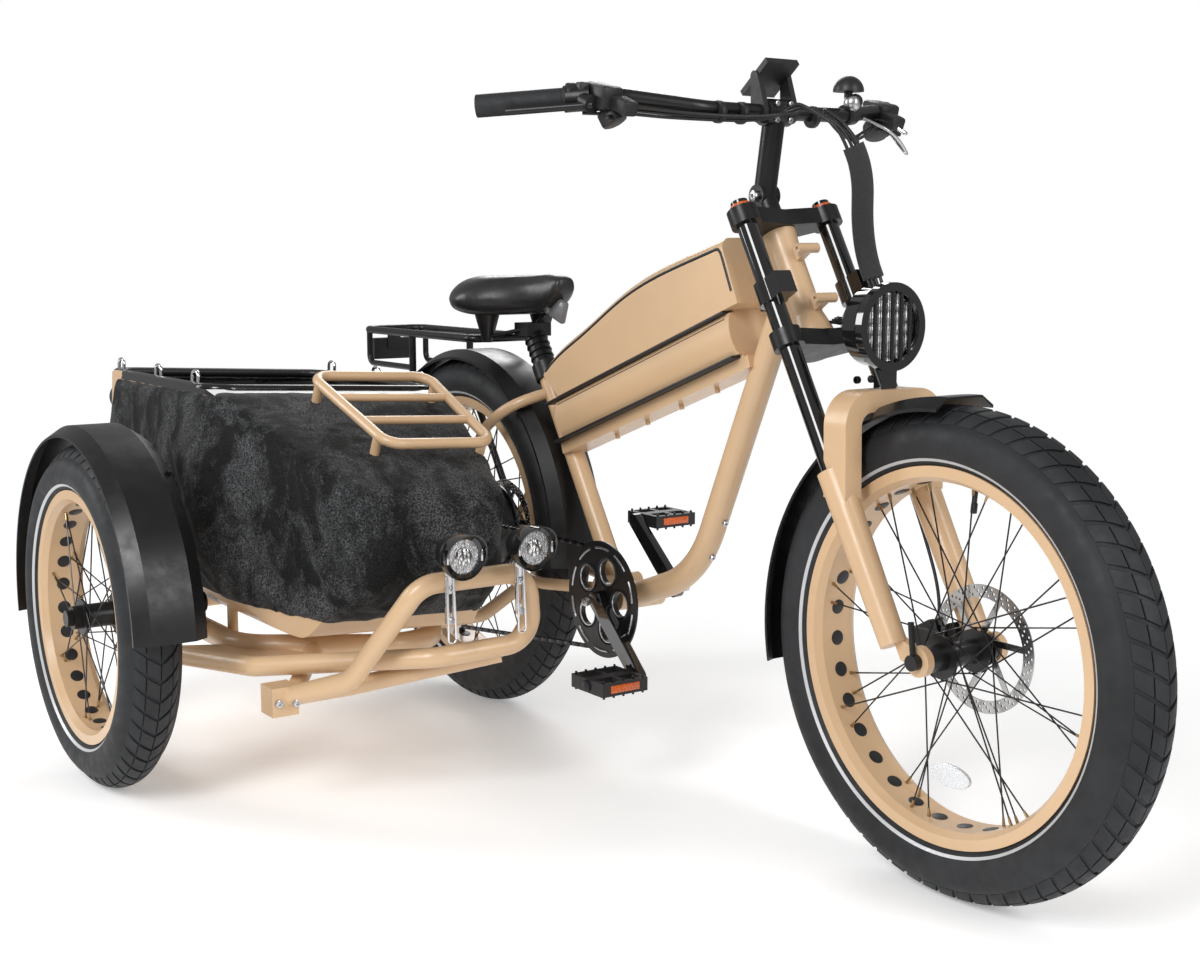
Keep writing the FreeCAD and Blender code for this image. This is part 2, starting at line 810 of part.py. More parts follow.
def head_tube():
    """The flared head tube with its four forward lugs."""
    foot = axis_point(0)
    profile = [
        (0, 0), (0, head_tube_foot_radius), (head_tube_flare * 0.3, head_tube_foot_radius * 0.96),
        (head_tube_flare, head_tube_radius), (head_tube_length - head_tube_flare, head_tube_radius),
        (head_tube_length, head_tube_top_radius), (head_tube_length, 0),
    ]
    corners = [foot + head_rise * along + head_ahead * out for along, out in profile]
    turned = Part.Face(Part.makePolygon(corners + corners[:1])).revolve(foot, head_rise, 360)
    pieces = [turned]
    for share in (lug_lower_share, lug_upper_share):
        base = axis_point(head_tube_length * share)
        boss_centre = base + head_ahead * lug_reach
        pieces.append(disc(boss_centre, lug_radius, lug_half_length))
        web_corners = [
            base - head_rise * lug_web_thickness, boss_centre - head_rise * lug_radius,
            boss_centre + head_rise * lug_radius, base + head_rise * lug_web_thickness,
        ]
        web = Part.Face(Part.makePolygon(web_corners + web_corners[:1])).extrude(side_axis * lug_web_thickness)
        web.translate(side_axis * (-lug_web_thickness / 2))
        pieces.append(web)
    return pieces


def lug_drills():
    """Cross holes through the lugs of the head tube."""
    return [
        disc(axis_point(head_tube_length * share) + head_ahead * lug_reach, lug_bore_radius, lug_half_length * 2)
        for share in (lug_lower_share, lug_upper_share)
    ]


def down_tube_points():
    """The down tube from the head tube, round its bend, to the bottom bracket."""
    top = axis_point(head_tube_length * down_tube_top_share)
    steep = math.tan(math.radians(down_tube_angle))
    shallow = math.tan(math.radians(down_tube_foot_angle))
    corner_x = (bracket_axle.z - top.z + steep * top.x - shallow * bracket_axle.x) / (steep - shallow)
    corner_z = bracket_axle.z + shallow * (corner_x - bracket_axle.x)
    return [top, Vector(corner_x, 0, corner_z), bracket_axle]


def front_frame():
    """The head tube, down tube and bottom bracket shell with the yoke's link, before their bores are cut."""
    pieces = head_tube()
    pieces.append(tube(down_tube_points(), down_tube_radius, down_tube_bend))
    pieces.append(disc(bracket_axle, bracket_shell_radius, bracket_shell_half_width))
    pieces.append(rod(seat_foot, bracket_axle, yoke_link_radius))
    return joined(pieces)


def main_frame():
    """The front of the welded frame, with the bores of its bearings and lugs."""
    steerer_bore = rod(axis_point(-cut_overrun), axis_point(head_tube_length + cut_overrun), steerer_radius + seat_gap)
    bracket_bore = disc(bracket_axle, bracket_axle_radius + seat_gap, bracket_shell_half_width * 2)
    return front_frame().cut([steerer_bore, bracket_bore] + lug_drills())


def seat_tube():
    """The seat tube, welded to the bottom bracket and bored for the seat post."""
    top = seat_tube_top()
    post_bore = rod(top - seat_way() * post_length, top + seat_way() * cut_overrun, post_radius + seat_gap)
    return rod(seat_foot, top, seat_tube_radius).cut([front_frame(), post_bore])


def battery_beam():
    """The cradle beam between the seat tube and the down tube."""
    return cradle().cut([front_frame(), seat_tube_bar(0)])


def seat_tube_bar(growth):
    """The seat tube as a plain bar, fattened by a growth where it is used to cut what is welded to it."""
    return rod(seat_foot, seat_tube_top(), seat_tube_radius + growth)


def rear_stays():
    """The chainstays, seatstays, yoke and dropouts that carry the rear wheel."""
    pieces = [rod(seat_foot - side_axis * yoke_half_width, seat_foot + side_axis * yoke_half_width, yoke_radius)]
    for side in (-1, 1):
        low = placed(chainstay_shares, Vector(), Vector(bracket_ahead, side * rear_dropout_half_width, tyre_radius))
        pieces.append(tube(low, chainstay_radius, stay_bend))
        high_size = Vector(seatstay_reach, side * rear_dropout_half_width, seatstay_height)
        high = placed(seatstay_shares, Vector(), high_size)
        pieces.append(tube(high, seatstay_radius, stay_bend))
        plate_centre = rear_axle + side_axis * (side * rear_dropout_half_width)
        pieces.append(disc(plate_centre, dropout_plate_radius, dropout_plate_thickness / 2))
    axle_bore = disc(rear_axle, axle_radius + seat_gap, rear_dropout_half_width * 2)
    return joined(pieces).cut([front_frame(), seat_tube_bar(0), axle_bore])


def seat_way():
    """The direction of the seat tube, upward."""
    return Vector(-math.cos(math.radians(seat_tube_angle)), 0, math.sin(math.radians(seat_tube_angle)))


def seat_tube_top():
    """The upper end of the seat tube's middle line."""
    return seat_foot + seat_way() * seat_tube_length


def clamp_middle():
    """The middle of the clamp at the top of the seat post, from which the saddle is counted."""
    return seat_tube_top() + seat_way() * post_length


cradle_way = Vector(math.cos(math.radians(cradle_angle)), 0, math.sin(math.radians(cradle_angle)))
cradle_up = Vector(-math.sin(math.radians(cradle_angle)), 0, math.cos(math.radians(cradle_angle)))
cradle_base = Vector(cradle_rear_ahead, 0, cradle_rear_height)


def way_to_down_tube():
    """How far the cradle's lower face runs before it meets the down tube's middle line."""
    top, corner, _ = down_tube_points()
    down = corner - top
    gap = top - cradle_base
    return (gap.z * down.x - gap.x * down.z) / (cradle_way.z * down.x - cradle_way.x * down.z)


cradle_length = way_to_down_tube() - cradle_end_inset


def raked(along, up, side=0.0):
    """A point in the raked frame of the cradle, battery and tank."""
    return cradle_base + cradle_way * along + cradle_up * up + side_axis * side


def cradle():
    """The flat beam below the battery, with a row of small bosses under it."""
    corners = [
        raked(0, 0, -cradle_half_width), raked(0, 0, cradle_half_width),
        raked(0, cradle_thickness, cradle_half_width), raked(0, cradle_thickness, -cradle_half_width),
    ]
    beam = Part.Face(Part.makePolygon(corners + corners[:1])).extrude(cradle_way * cradle_length)
    bosses = []
    for share in boss_place_shares:
        start = raked(cradle_length * share, cut_overrun)
        bosses.append(rod(start, raked(cradle_length * share, -boss_height), boss_radius))
    return joined([beam] + bosses)


battery_base = cradle_thickness + cradle_seam
tank_base = battery_base + battery_thickness + cradle_seam


def battery():
    """The pill-shaped battery that lies on the cradle."""
    low = battery_base
    high = battery_base + battery_thickness
    middle = (low + high) / 2
    start = battery_rear_inset
    flat = battery_half_width * 0.8
    points = [
        raked(start, low, -flat), raked(start, middle, -battery_half_width), raked(start, high, -flat),
        raked(start, high, flat), raked(start, middle, battery_half_width), raked(start, low, flat),
    ]
    section = Part.Wire([
        Part.Arc(points[0], points[1], points[2]).toShape(),
        Part.LineSegment(points[2], points[3]).toShape(),
        Part.Arc(points[3], points[4], points[5]).toShape(),
        Part.LineSegment(points[5], points[0]).toShape(),
    ])
    length = cradle_length - battery_rear_inset - battery_front_inset
    body = Part.Face(section).extrude(cradle_way * length)
    seam = strip(cradle_thickness, cradle_seam, cradle_half_width, length)
    return joined([body, seam])


def strip(up, thickness, half_width, length):
    """A thin flat strip laid along the raked frame, as between the tank and the battery."""
    corners = [
        raked(battery_rear_inset, up, -half_width), raked(battery_rear_inset, up, half_width),
        raked(battery_rear_inset, up + thickness, half_width), raked(battery_rear_inset, up + thickness, -half_width),
    ]
    return Part.Face(Part.makePolygon(corners + corners[:1])).extrude(cradle_way * length)


def tank_shell():
    """The sail-shaped upper shell: flat below, with a long rising crest."""
    length = cradle_length - tank_front_inset
    crest = [
        raked(length * along, tank_base + tank_front_height * up, -tank_half_width) for along, up in tank_crest_shares
    ]
    curve = Part.BSplineCurve()
    curve.interpolate(crest)
    rear = raked(length * tank_rear_share, tank_base, -tank_half_width)
    front = raked(length, tank_base, -tank_half_width)
    outline = Part.Wire([
        curve.toShape(),
        Part.LineSegment(crest[-1], front).toShape(),
        Part.LineSegment(front, rear).toShape(),
        Part.LineSegment(rear, crest[0]).toShape(),
    ])
    solid = Part.Face(outline).extrude(side_axis * (2 * tank_half_width))
    crest_edges = [edge for edge in solid.Edges if edge.Curve.TypeId == "Part::GeomBSplineCurve"]
    solid = solid.makeFillet(tank_edge_radius, crest_edges)
    seam_length = cradle_length - battery_rear_inset - battery_front_inset
    return joined([solid, strip(tank_base - cradle_seam, cradle_seam, cradle_half_width, seam_length)])


def seat_post():
    """The clamp collar, sprung post with its bellows, and the clamp, rails and springs under the saddle."""
    way = seat_way()
    top = seat_tube_top()
    inner = rod(top - way * (post_length / 2), top + way * post_length, post_radius)
    collar = Part.makeCylinder(post_collar_radius, post_collar_height, top + way * seat_gap, way)
    pieces = [inner, collar]
    pitch = post_bellows_length / post_bellows_count
    for index in range(post_bellows_count):
        base = top + way * (post_collar_height + pitch * index)
        pieces.append(Part.makeCone(post_bellows_radius, post_bellows_radius - post_bellows_ring, pitch, base, way))
    return joined(pieces + saddle_springs())


def saddle():
    """A wide sprung saddle with a short nose, lofted through rounded cross sections."""
    sections = []
    for along, wide, low, high in saddle_shares:
        half = saddle_half_width * wide
        foot = clamp_middle().z + saddle_rise + saddle_thickness * low
        top = clamp_middle().z + saddle_rise + saddle_thickness * high
        place = clamp_middle().x - saddle_setback + saddle_length * along
        rise = top - foot
        points = [
            Vector(place, -half * 0.86, foot), Vector(place, -half, foot + rise * 0.36),
            Vector(place, -half * 0.74, top - rise * 0.12), Vector(place, 0, top),
            Vector(place, half * 0.74, top - rise * 0.12), Vector(place, half, foot + rise * 0.36),
            Vector(place, half * 0.86, foot),
        ]
        curve = Part.BSplineCurve()
        curve.interpolate(points)
        sections.append(Part.Wire([curve.toShape(), Part.LineSegment(points[-1], points[0]).toShape()]))
    return Part.makeLoft(sections, True, False)


def saddle_springs():
    """Two conical springs, the rails and the clamp that carry the saddle."""
    clamp = clamp_middle()
    pieces = [block(clamp, clamp_length, clamp_width, clamp_height)]
    top = clamp.z + saddle_rise - seat_gap
    for side in (-1, 1):
        foot = Vector(clamp.x - saddle_spring_setback, side * saddle_spring_spread, top - saddle_spring_length)
        pieces.append(Part.makeCone(saddle_spring_foot_radius, saddle_spring_top_radius, saddle_spring_length, foot, up_axis))
        rail_foot = foot + up_axis * saddle_spring_foot_radius
        pieces.append(rod(rail_foot, clamp + side_axis * (side * (clamp_width / 2 - rail_radius)), rail_radius))
    nose_end = Vector(clamp.x - saddle_setback + saddle_length * saddle_rail_share, 0, top - rail_radius)
    pieces.append(rod(clamp, nose_end, rail_radius))
    return pieces


def rear_fender():
    """The wide mudguard over the rear tyre, bolted to the seat tube and stayed to the dropouts."""
    shell = fender(rear_axle, tyre_radius, fender_gap, fender_half_width, rear_fender_start_angle, rear_fender_end_angle)
    along = (rear_axle - seat_foot).dot(seat_way())
    nearest = seat_foot + seat_way() * along - rear_axle
    reach = nearest.Length - seat_tube_radius - seat_gap
    nearest.normalize()
    inner = tyre_radius + fender_gap + fender_wall / 2
    pieces = [shell, rod(rear_axle + nearest * inner, rear_axle + nearest * reach, fender_boss_radius)]
    angle = math.radians(rear_stay_angle)
    out = Vector(math.cos(angle), 0, math.sin(angle))
    edge_out = tyre_radius + fender_gap - fender_crown + fender_wall / 2
    foot_side = rear_dropout_half_width + dropout_plate_thickness / 2 + seat_gap + fender_stay_radius
    for side in (-1, 1):
        top = rear_axle + out * edge_out + side_axis * (side * fender_half_width)
        foot = rear_axle + out * (dropout_plate_radius - 2 * fender_stay_radius) + side_axis * (side * foot_side)
        knee = foot + out * (dropout_plate_radius / 2)
        pieces.append(tube([top, knee, foot], fender_stay_radius, dropout_plate_radius))
    return joined(pieces)


def rear_rack():
    """A carrier of bent tube: a level hoop, a side loop below it and a leg each side."""
    hoop_rear = rack_rear + rack_tube_radius
    crossing = rack_half_width * rack_cross_share
    hoop = [
        Vector(rack_front, -crossing, rack_height), Vector(rack_front, -rack_half_width, rack_height),
        Vector(hoop_rear, -rack_half_width, rack_height), Vector(hoop_rear, rack_half_width, rack_height),
        Vector(rack_front, rack_half_width, rack_height), Vector(rack_front, crossing, rack_height),
    ]
    pieces = [tube(hoop, rack_tube_radius, rack_bend), rod(hoop[0], hoop[-1], rack_tube_radius)]
    loop_rear = rack_rear + rack_bend
    for side in (-1, 1):
        line = side * rack_half_width
        loop = [
            Vector(loop_rear, line, rack_height), Vector(loop_rear, line, rack_height - rack_drop),
            Vector(rack_leg_ahead, line, rack_height - rack_drop),
        ]
        pieces.append(tube(loop, rack_loop_radius, rack_bend / 2))
        knee = Vector(rack_leg_ahead, line, rack_height - rack_drop * rack_knee_share)
        plate = rear_axle + side_axis * (side * rear_dropout_half_width)
        down = plate - knee
        down.normalize()
        foot = plate - down * (dropout_plate_radius + seat_gap)
        pieces.append(tube([Vector(rack_leg_ahead, line, rack_height), knee, foot], rack_leg_radius, rack_bend))
    return joined(pieces)


def rear_axle_pin():
    """The rear motor's axle with a nut outside each dropout."""
    reach = rear_dropout_half_width + dropout_plate_thickness / 2 + seat_gap
    pin = disc(rear_axle, axle_radius, reach)
    nuts = [Part.makeCylinder(axle_radius * 2, axle_radius * 1.6, rear_axle + side_axis * (s * reach), side_axis * s)
            for s in (-1, 1)]
    return joined([pin] + nuts)


def tail_lamps():
    """The lamp that hangs behind the rack's rear bar and the round one on the tub's rear corner."""
    bracket_ahead = rack_rear + 2 * rack_tube_radius + seat_gap + lamp_bracket_thickness / 2
    lamp_top = rack_height - rack_tube_radius - lamp_plate_drop
    lamp_middle = Vector(bracket_ahead - (lamp_bracket_thickness + lamp_plate_depth) / 2, 0, lamp_top - lamp_plate_height / 2)
    lamp = block(lamp_middle, lamp_plate_depth, lamp_plate_width, lamp_plate_height)
    bracket_height = rack_height - lamp_middle.z
    bracket_middle = Vector(bracket_ahead, 0, rack_height - bracket_height / 2)
    bracket = block(bracket_middle, lamp_bracket_thickness, lamp_bracket_width, bracket_height)
    spot = Vector(tub_rear - seat_gap, tub_outer_side + tub_lamp_inset, tub_rim_height - tub_lamp_drop)
    tub_lamp = rolled(Part.makeCylinder(tub_lamp_radius, tub_lamp_depth, spot, -ahead_axis))
    return Part.makeCompound([joined([lamp, bracket]), tub_lamp])


def tangent(first, first_radius, second, second_radius, side):
    """The outer tangent of two circles in the chain's plane, on one side of the line between them."""
    gap = second - first
    base = math.atan2(gap.z, gap.x)
    lean = math.acos((first_radius - second_radius) / gap.Length)
    angle = base + side * lean
    way = Vector(math.cos(angle), 0, math.sin(angle))
    return first + way * first_radius, second + way * second_radius


def chain():
    """The chain as one closed band round the chainring, sprocket and two pulleys."""
    plane = side_axis * (-chain_offset)
    ring = bracket_axle + plane
    cog = rear_axle + plane
    lower = Vector(lower_pulley_ahead, 0, lower_pulley_height) + plane
    top_ring, top_cog = tangent(ring, chain_radius, cog, sprocket_radius, -1)
    low_lower, low_ring = tangent(lower, pulley_radius, ring, chain_radius, -1)
    cog_side, lower_side = tangent(cog, sprocket_radius, lower, pulley_radius, -1)
    back = Vector(-1, 0, 0)
    edges = [
        Part.LineSegment(top_ring, top_cog).toShape(),
        Part.Arc(top_cog, cog + back * sprocket_radius, cog_side).toShape(),
        Part.LineSegment(cog_side, lower_side).toShape(),
        Part.Arc(lower_side, lower + middle_way(lower, lower_side, low_lower) * pulley_radius, low_lower).toShape(),
        Part.LineSegment(low_lower, low_ring).toShape(),
        Part.Arc(low_ring, ring - back * chain_radius, top_ring).toShape(),
    ]
    path = Part.Wire(edges)
    outer = Part.Face(path.makeOffset2D(chain_half_height))
    inner = Part.Face(path.makeOffset2D(-chain_half_height))
    band = outer.cut(inner).extrude(side_axis * (2 * chain_half_width))
    band.translate(side_axis * (-chain_half_width))
    return band


def middle_way(centre, first, second):
    """The direction half-way between two points on a circle."""
    way = (first - centre) + (second - centre)
    way.normalize()
    return way


def derailleur():
    """The rear cage that hangs from its dropout and carries the lower pulley."""
    lower = Vector(lower_pulley_ahead, -chain_offset, lower_pulley_height)
    pulley = disc(lower, pulley_radius - chain_half_height - seat_gap, chain_half_width)
    plate_side = chain_offset + chain_half_width + seat_gap + cage_thickness / 2
    hang = Vector(math.sin(math.radians(hanger_angle)), 0, -math.cos(math.radians(hanger_angle)))
    cage_top = rear_axle + hang * (dropout_plate_radius + cage_radius + seat_gap) - side_axis * plate_side
    cage_foot = Vector(lower.x, -plate_side, lower.z)
    cage = link_plate(cage_top, cage_foot, cage_radius, cage_radius, cage_thickness)
    pin_half = (plate_side - chain_offset) / 2
    pin = disc(lower - side_axis * pin_half, cage_radius * 0.4, pin_half)
    knuckle_middle = cage_top - side_axis * ((knuckle_length - cage_thickness) / 2)
    return joined([pulley, cage, pin, disc(knuckle_middle, cage_radius, knuckle_length / 2)])


def link_plate(start, end, start_radius, end_radius, thickness):
    """A flat link in an upright plane: two round ends with straight flanks between them."""
    first, second = tangent(start, start_radius, end, end_radius, 1)
    third, fourth = tangent(start, start_radius, end, end_radius, -1)
    web = Part.Face(Part.makePolygon([first, second, fourth, third, first])).extrude(side_axis * thickness)
    web.translate(side_axis * (-thickness / 2))
    return joined([web, disc(start, start_radius, thickness / 2), disc(end, end_radius, thickness / 2)])


def front_wheel_pieces():
    """Tyre, rim, spokes, hub and brake disc of the steered wheel."""
    bore = axle_radius + seat_gap
    return {
        "front_tyre": tyre(front_axle, tyre_radius, tyre_width, rim_radius, rim_width),
        "front_rim": rim(front_axle, rim_radius, rim_width, rim_hole_count),
        "front_spokes": spokes(front_axle, rim_radius, hub_flange_offset, hub_flange_radius, spoke_count),
        "front_hub": joined([
            hub(front_axle, front_hub_half_width, hub_body_radius, hub_flange_offset, hub_flange_radius, bore),
            rotor(front_axle + side_axis * rotor_offset, bore)]),
    }


def rear_wheel_pieces():
    """Tyre, rim, spokes and the motor hub with its sprockets and brake disc."""
    bore = axle_radius + seat_gap
    return {
        "rear_tyre": tyre(rear_axle, tyre_radius, tyre_width, rim_radius, rim_width),
        "rear_rim": rim(rear_axle, rim_radius, rim_width, rim_hole_count),
        "rear_spokes": spokes(rear_axle, rim_radius, hub_flange_offset, motor_flange_radius, spoke_count),
        "rear_hub_motor": motor_hub(bore),
    }


def motor_hub(bore_radius):
    """The hub motor: a wide drum with two spoke flanges, the sprockets and the brake disc."""
    edge = hub_flange_offset + hub_flange_thickness / 2
    neck = hub_flange_offset - hub_flange_thickness / 2
    inner = [(edge, motor_radius), (edge, motor_flange_radius), (neck, motor_flange_radius), (neck, motor_radius)]
    left = [(motor_half_width, bore_radius), (motor_half_width, motor_radius * motor_face_share)] + inner
    right = [(motor_right_half_width, bore_radius), (motor_right_half_width, motor_radius * motor_face_share)] + inner
    pieces = [spun(left + [(-along, out) for along, out in reversed(right)], rear_axle)]
    core = sprocket_radius * hub_core_share
    pieces.append(ring_between(rear_axle, motor_half_width, rear_hub_half_width, core, bore_radius))
    pieces.append(ring_between(rear_axle, -rear_hub_half_width, -motor_right_half_width, core, bore_radius))
    growth = (sprocket_largest_radius - sprocket_radius) / (sprocket_count - 1)
    for index in range(sprocket_count):
        place = chain_offset - sprocket_spacing * index
        tooth_radius = sprocket_radius - chain_half_height - seat_gap + growth * index
        pieces.append(disc(rear_axle - side_axis * place, tooth_radius, sprocket_thickness / 2))
    pieces.append(rotor(rear_axle + side_axis * (motor_half_width + rotor_carrier_gap), bore_radius))
    return joined(pieces).cut(disc(rear_axle, bore_radius, rear_hub_half_width + cut_overrun))


def ring_between(centre, start, end, radius, bore_radius):
    """A plain sleeve along the wheel axis between two places."""
    return spun([(start, bore_radius), (start, radius), (end, radius), (end, bore_radius)], centre)


def sidecar_wheel_pieces():
    """Tyre, rim, spokes and hub of the sidecar's wheel."""
    bore = sidecar_axle_radius + seat_gap
    return {
        "sidecar_tyre": tyre(
            sidecar_axle, sidecar_tyre_radius, sidecar_tyre_width, sidecar_rim_radius, sidecar_rim_width),
        "sidecar_rim": rim(sidecar_axle, sidecar_rim_radius, sidecar_rim_width, sidecar_rim_hole_count),
        "sidecar_spokes": spokes(
            sidecar_axle, sidecar_rim_radius, sidecar_hub_flange_offset, hub_flange_radius, spoke_count),
        "sidecar_hub": hub(sidecar_axle, sidecar_hub_half_width, sidecar_hub_body_radius,
                           sidecar_hub_flange_offset, hub_flange_radius, bore),
    }


def crank_way():
    """The direction of the right crank arm."""
    angle = math.radians(crank_angle)
    return Vector(math.cos(angle), 0, math.sin(angle))


def crank_arm(side):
    """One tapered crank arm, from the bottom bracket axle to its pedal's eye."""
    way = crank_way() * (-side)
    across = way.cross(side_axis)
    inner = side_axis * (side * crank_inner_side)
    start = bracket_axle + inner
    end = bracket_axle + way * crank_length + inner + side_axis * (side * crank_flare)
    depth = side_axis * (side * crank_arm_thickness)
    root = Part.makePolygon([
        start + across * (crank_arm_width / 2), start + across * (crank_arm_width / 2) + depth,
        start - across * (crank_arm_width / 2) + depth, start - across * (crank_arm_width / 2),
        start + across * (crank_arm_width / 2),
    ])
    tip = Part.makePolygon([
        end + across * (crank_arm_tip_width / 2), end + across * (crank_arm_tip_width / 2) + depth,
        end - across * (crank_arm_tip_width / 2) + depth, end - across * (crank_arm_tip_width / 2),
        end + across * (crank_arm_tip_width / 2),
    ])
    arm = Part.makeLoft([root, tip], True, True)
    boss = Part.makeCylinder(crank_arm_width / 2, crank_arm_thickness, start, side_axis * side)
    eye = Part.makeCylinder(crank_arm_tip_width / 2, crank_arm_thickness, end, side_axis * side)
    return [arm, boss, eye]


def pedal_centre(side):
    """The outer face of a crank's pedal eye."""
    outer = crank_inner_side + crank_flare + crank_arm_thickness
    return bracket_axle + crank_way() * (-side * crank_length) + side_axis * (side * outer)


def crankset():
    """Axle, both arms and the five-armed spider that carries the ring."""
    pieces = [disc(bracket_axle, bracket_axle_radius, crank_inner_side + crank_arm_thickness)]
    for side in (-1, 1):
        pieces += crank_arm(side)
    return joined(pieces)


def chainring():
    """The toothed ring, with the larger guard disc outside it and round windows through both."""
    plane = bracket_axle - side_axis * chain_offset
    ring = disc(plane, chain_radius - chain_half_height - seat_gap, chainring_thickness / 2)
    guard_middle = plane - side_axis * (chain_half_width + seat_gap + guard_thickness)
    guard = disc(guard_middle, guard_radius, guard_thickness / 2)
    spacer = disc((plane + guard_middle) / 2, guard_inner_radius, (plane - guard_middle).Length / 2)
    whole = joined([ring, guard, spacer])
    windows = []
    for index in range(guard_hole_count):
        angle = math.radians(crank_angle + 360 * (index + 0.5) / guard_hole_count)
        spot = plane + Vector(math.cos(angle), 0, math.sin(angle)) * guard_hole_place
        windows.append(disc(spot, guard_hole_radius, guard_radius))
    bore = disc(plane, bracket_axle_radius, guard_radius)
    return whole.cut(windows + [bore])


def pedal(side):
    """A platform pedal: a spindle sleeve, two end plates, side rails and grip bars."""
    start = pedal_centre(side) + side_axis * (side * running_gap)
    middle = start + side_axis * (side * pedal_length / 2)
    frame = block(middle, 2 * pedal_half_width, pedal_length, pedal_thickness)
    window_length = (pedal_length - 3 * pedal_bar) / 2
    window_depth = pedal_half_width - pedal_axle_radius * 2 - pedal_bar
    windows = []
    for along in (-1, 1):
        for across in (-1, 1):
            spot = middle + side_axis * (along * (window_length + pedal_bar) / 2)
            spot = spot + ahead_axis * (across * (pedal_axle_radius * 2 + window_depth / 2))
            windows.append(block(spot, window_depth, window_length, pedal_thickness * 2))
    spindle = rod(pedal_centre(side) + side_axis * (side * seat_gap), middle, pedal_axle_radius)
    return joined([frame.cut(windows), spindle])


def bar_points(side):
    """The middle line of one half of the handlebar, from the stem out to the grip's end."""
    centre = bar_middle
    return placed(bar_shares, centre, Vector(bar_sweep, side * handlebar_half_width, bar_rise))


def bar_line(radius):
    """A tube along the whole handlebar, also used a little fattened to cut what is clamped on it."""
    return tube(list(reversed(bar_points(-1))) + bar_points(1)[1:], radius, bar_bend)


def handlebar():
    """One bent bar from grip to grip."""
    return bar_line(bar_radius)


def grip_ends(side):
    """The inner and outer end of one grip's middle line."""
    points = bar_points(side)
    way = points[-1] - points[-2]
    way.normalize()
    outer = points[-1] + way * seat_gap
    return outer - way * grip_length, outer, way


def grips():
    """Two textured sleeves, closed at the outer end."""
    sleeves = []
    for side in (-1, 1):
        inner, outer, way = grip_ends(side)
        sleeve = rod(inner, outer + way * grip_end_thickness, grip_radius)
        flange = rod(inner, inner + way * grip_end_thickness, grip_flange_radius)
        sleeves.append(sleeve.fuse(flange).removeSplitter())
    return cut_each(sleeves, bar_line(bar_radius + fit_gap))


def cut_each(shapes, tool):
    """Several solids in one node, each cut by the same tool."""
    return Part.makeCompound([shape.cut(tool) for shape in shapes])


def brake_levers():
    """A lever and its clamp block inside each grip."""
    sets = []
    for side in (-1, 1):
        inner, outer, way = grip_ends(side)
        clamp_end = inner - way * seat_gap
        clamp_start = clamp_end - way * lever_block_length
        clamp = rod(clamp_start, clamp_end, grip_flange_radius)
        reach = ahead_axis * lever_gap - up_axis * (lever_gap * lever_drop_share)
        pivot = (clamp_start + clamp_end) / 2 + reach
        body = rod((clamp_start + clamp_end) / 2, pivot, lever_block_radius)
        tip = pivot + way * (lever_block_length / 2 + lever_length)
        sets.append(joined([clamp, body, rod(pivot, tip, lever_radius)]))
    return cut_each(sets, bar_line(bar_radius + fit_gap))


def stem():
    """The riser from the upper crown to the handlebar clamp."""
    foot = axis_point(upper_crown_base + crown_thickness + seat_gap)
    centre = bar_middle
    pivot = foot + head_rise * stem_pivot_rise
    pieces = [
        rod(foot, pivot, stem_radius), rod(pivot, centre, stem_radius),
        disc(pivot, stem_radius, stem_radius), disc(centre, bar_clamp_radius, bar_clamp_half_length),
    ]
    return joined(pieces).cut(bar_line(bar_radius + fit_gap))


def display():
    """A thin tilted screen on two arms from the bar clamp."""
    screen = bar_middle + Vector(display_reach, 0, display_rise)
    plate = Part.makeBox(display_depth, display_width, display_thickness,
                         Vector(-display_depth / 2, -display_width / 2, 0))
    plate.rotate(Vector(), side_axis, -display_tilt_angle)
    plate.translate(screen)
    pieces = [plate]
    for side in (-1, 1):
        side_place = side * (bar_clamp_half_length + display_arm / 2 + seat_gap)
        low = bar_middle + side_axis * side_place
        high = screen + Vector(0, side_place, display_thickness / 2)
        pieces.append(link_plate(low, high, display_ring_radius, display_arm_radius, display_arm))
    return joined(pieces).cut(bar_line(bar_radius + fit_gap))


def bell():
    """A domed horn on a neck with a round bell before it, clamped on the left half of the bar."""
    inner, outer = bar_points(1)[1:3]
    spot = inner + (outer - inner) * bell_place_share
    way = outer - inner
    way.normalize()
    clamp = rod(spot - way * bell_clamp_half_length, spot + way * bell_clamp_half_length, bell_clamp_radius)
    dome_centre = spot + up_axis * (bell_radius + bar_radius)
    neck = rod(spot, dome_centre, bell_neck_radius)
    dome = Part.makeSphere(bell_radius, dome_centre, up_axis, 0, 90, 360)
    ball = Part.makeSphere(bell_ball_radius, spot + Vector(bell_ball_reach, 0, bell_ball_rise))
    return joined([clamp, neck, dome, ball]).cut(bar_line(bar_radius + fit_gap))


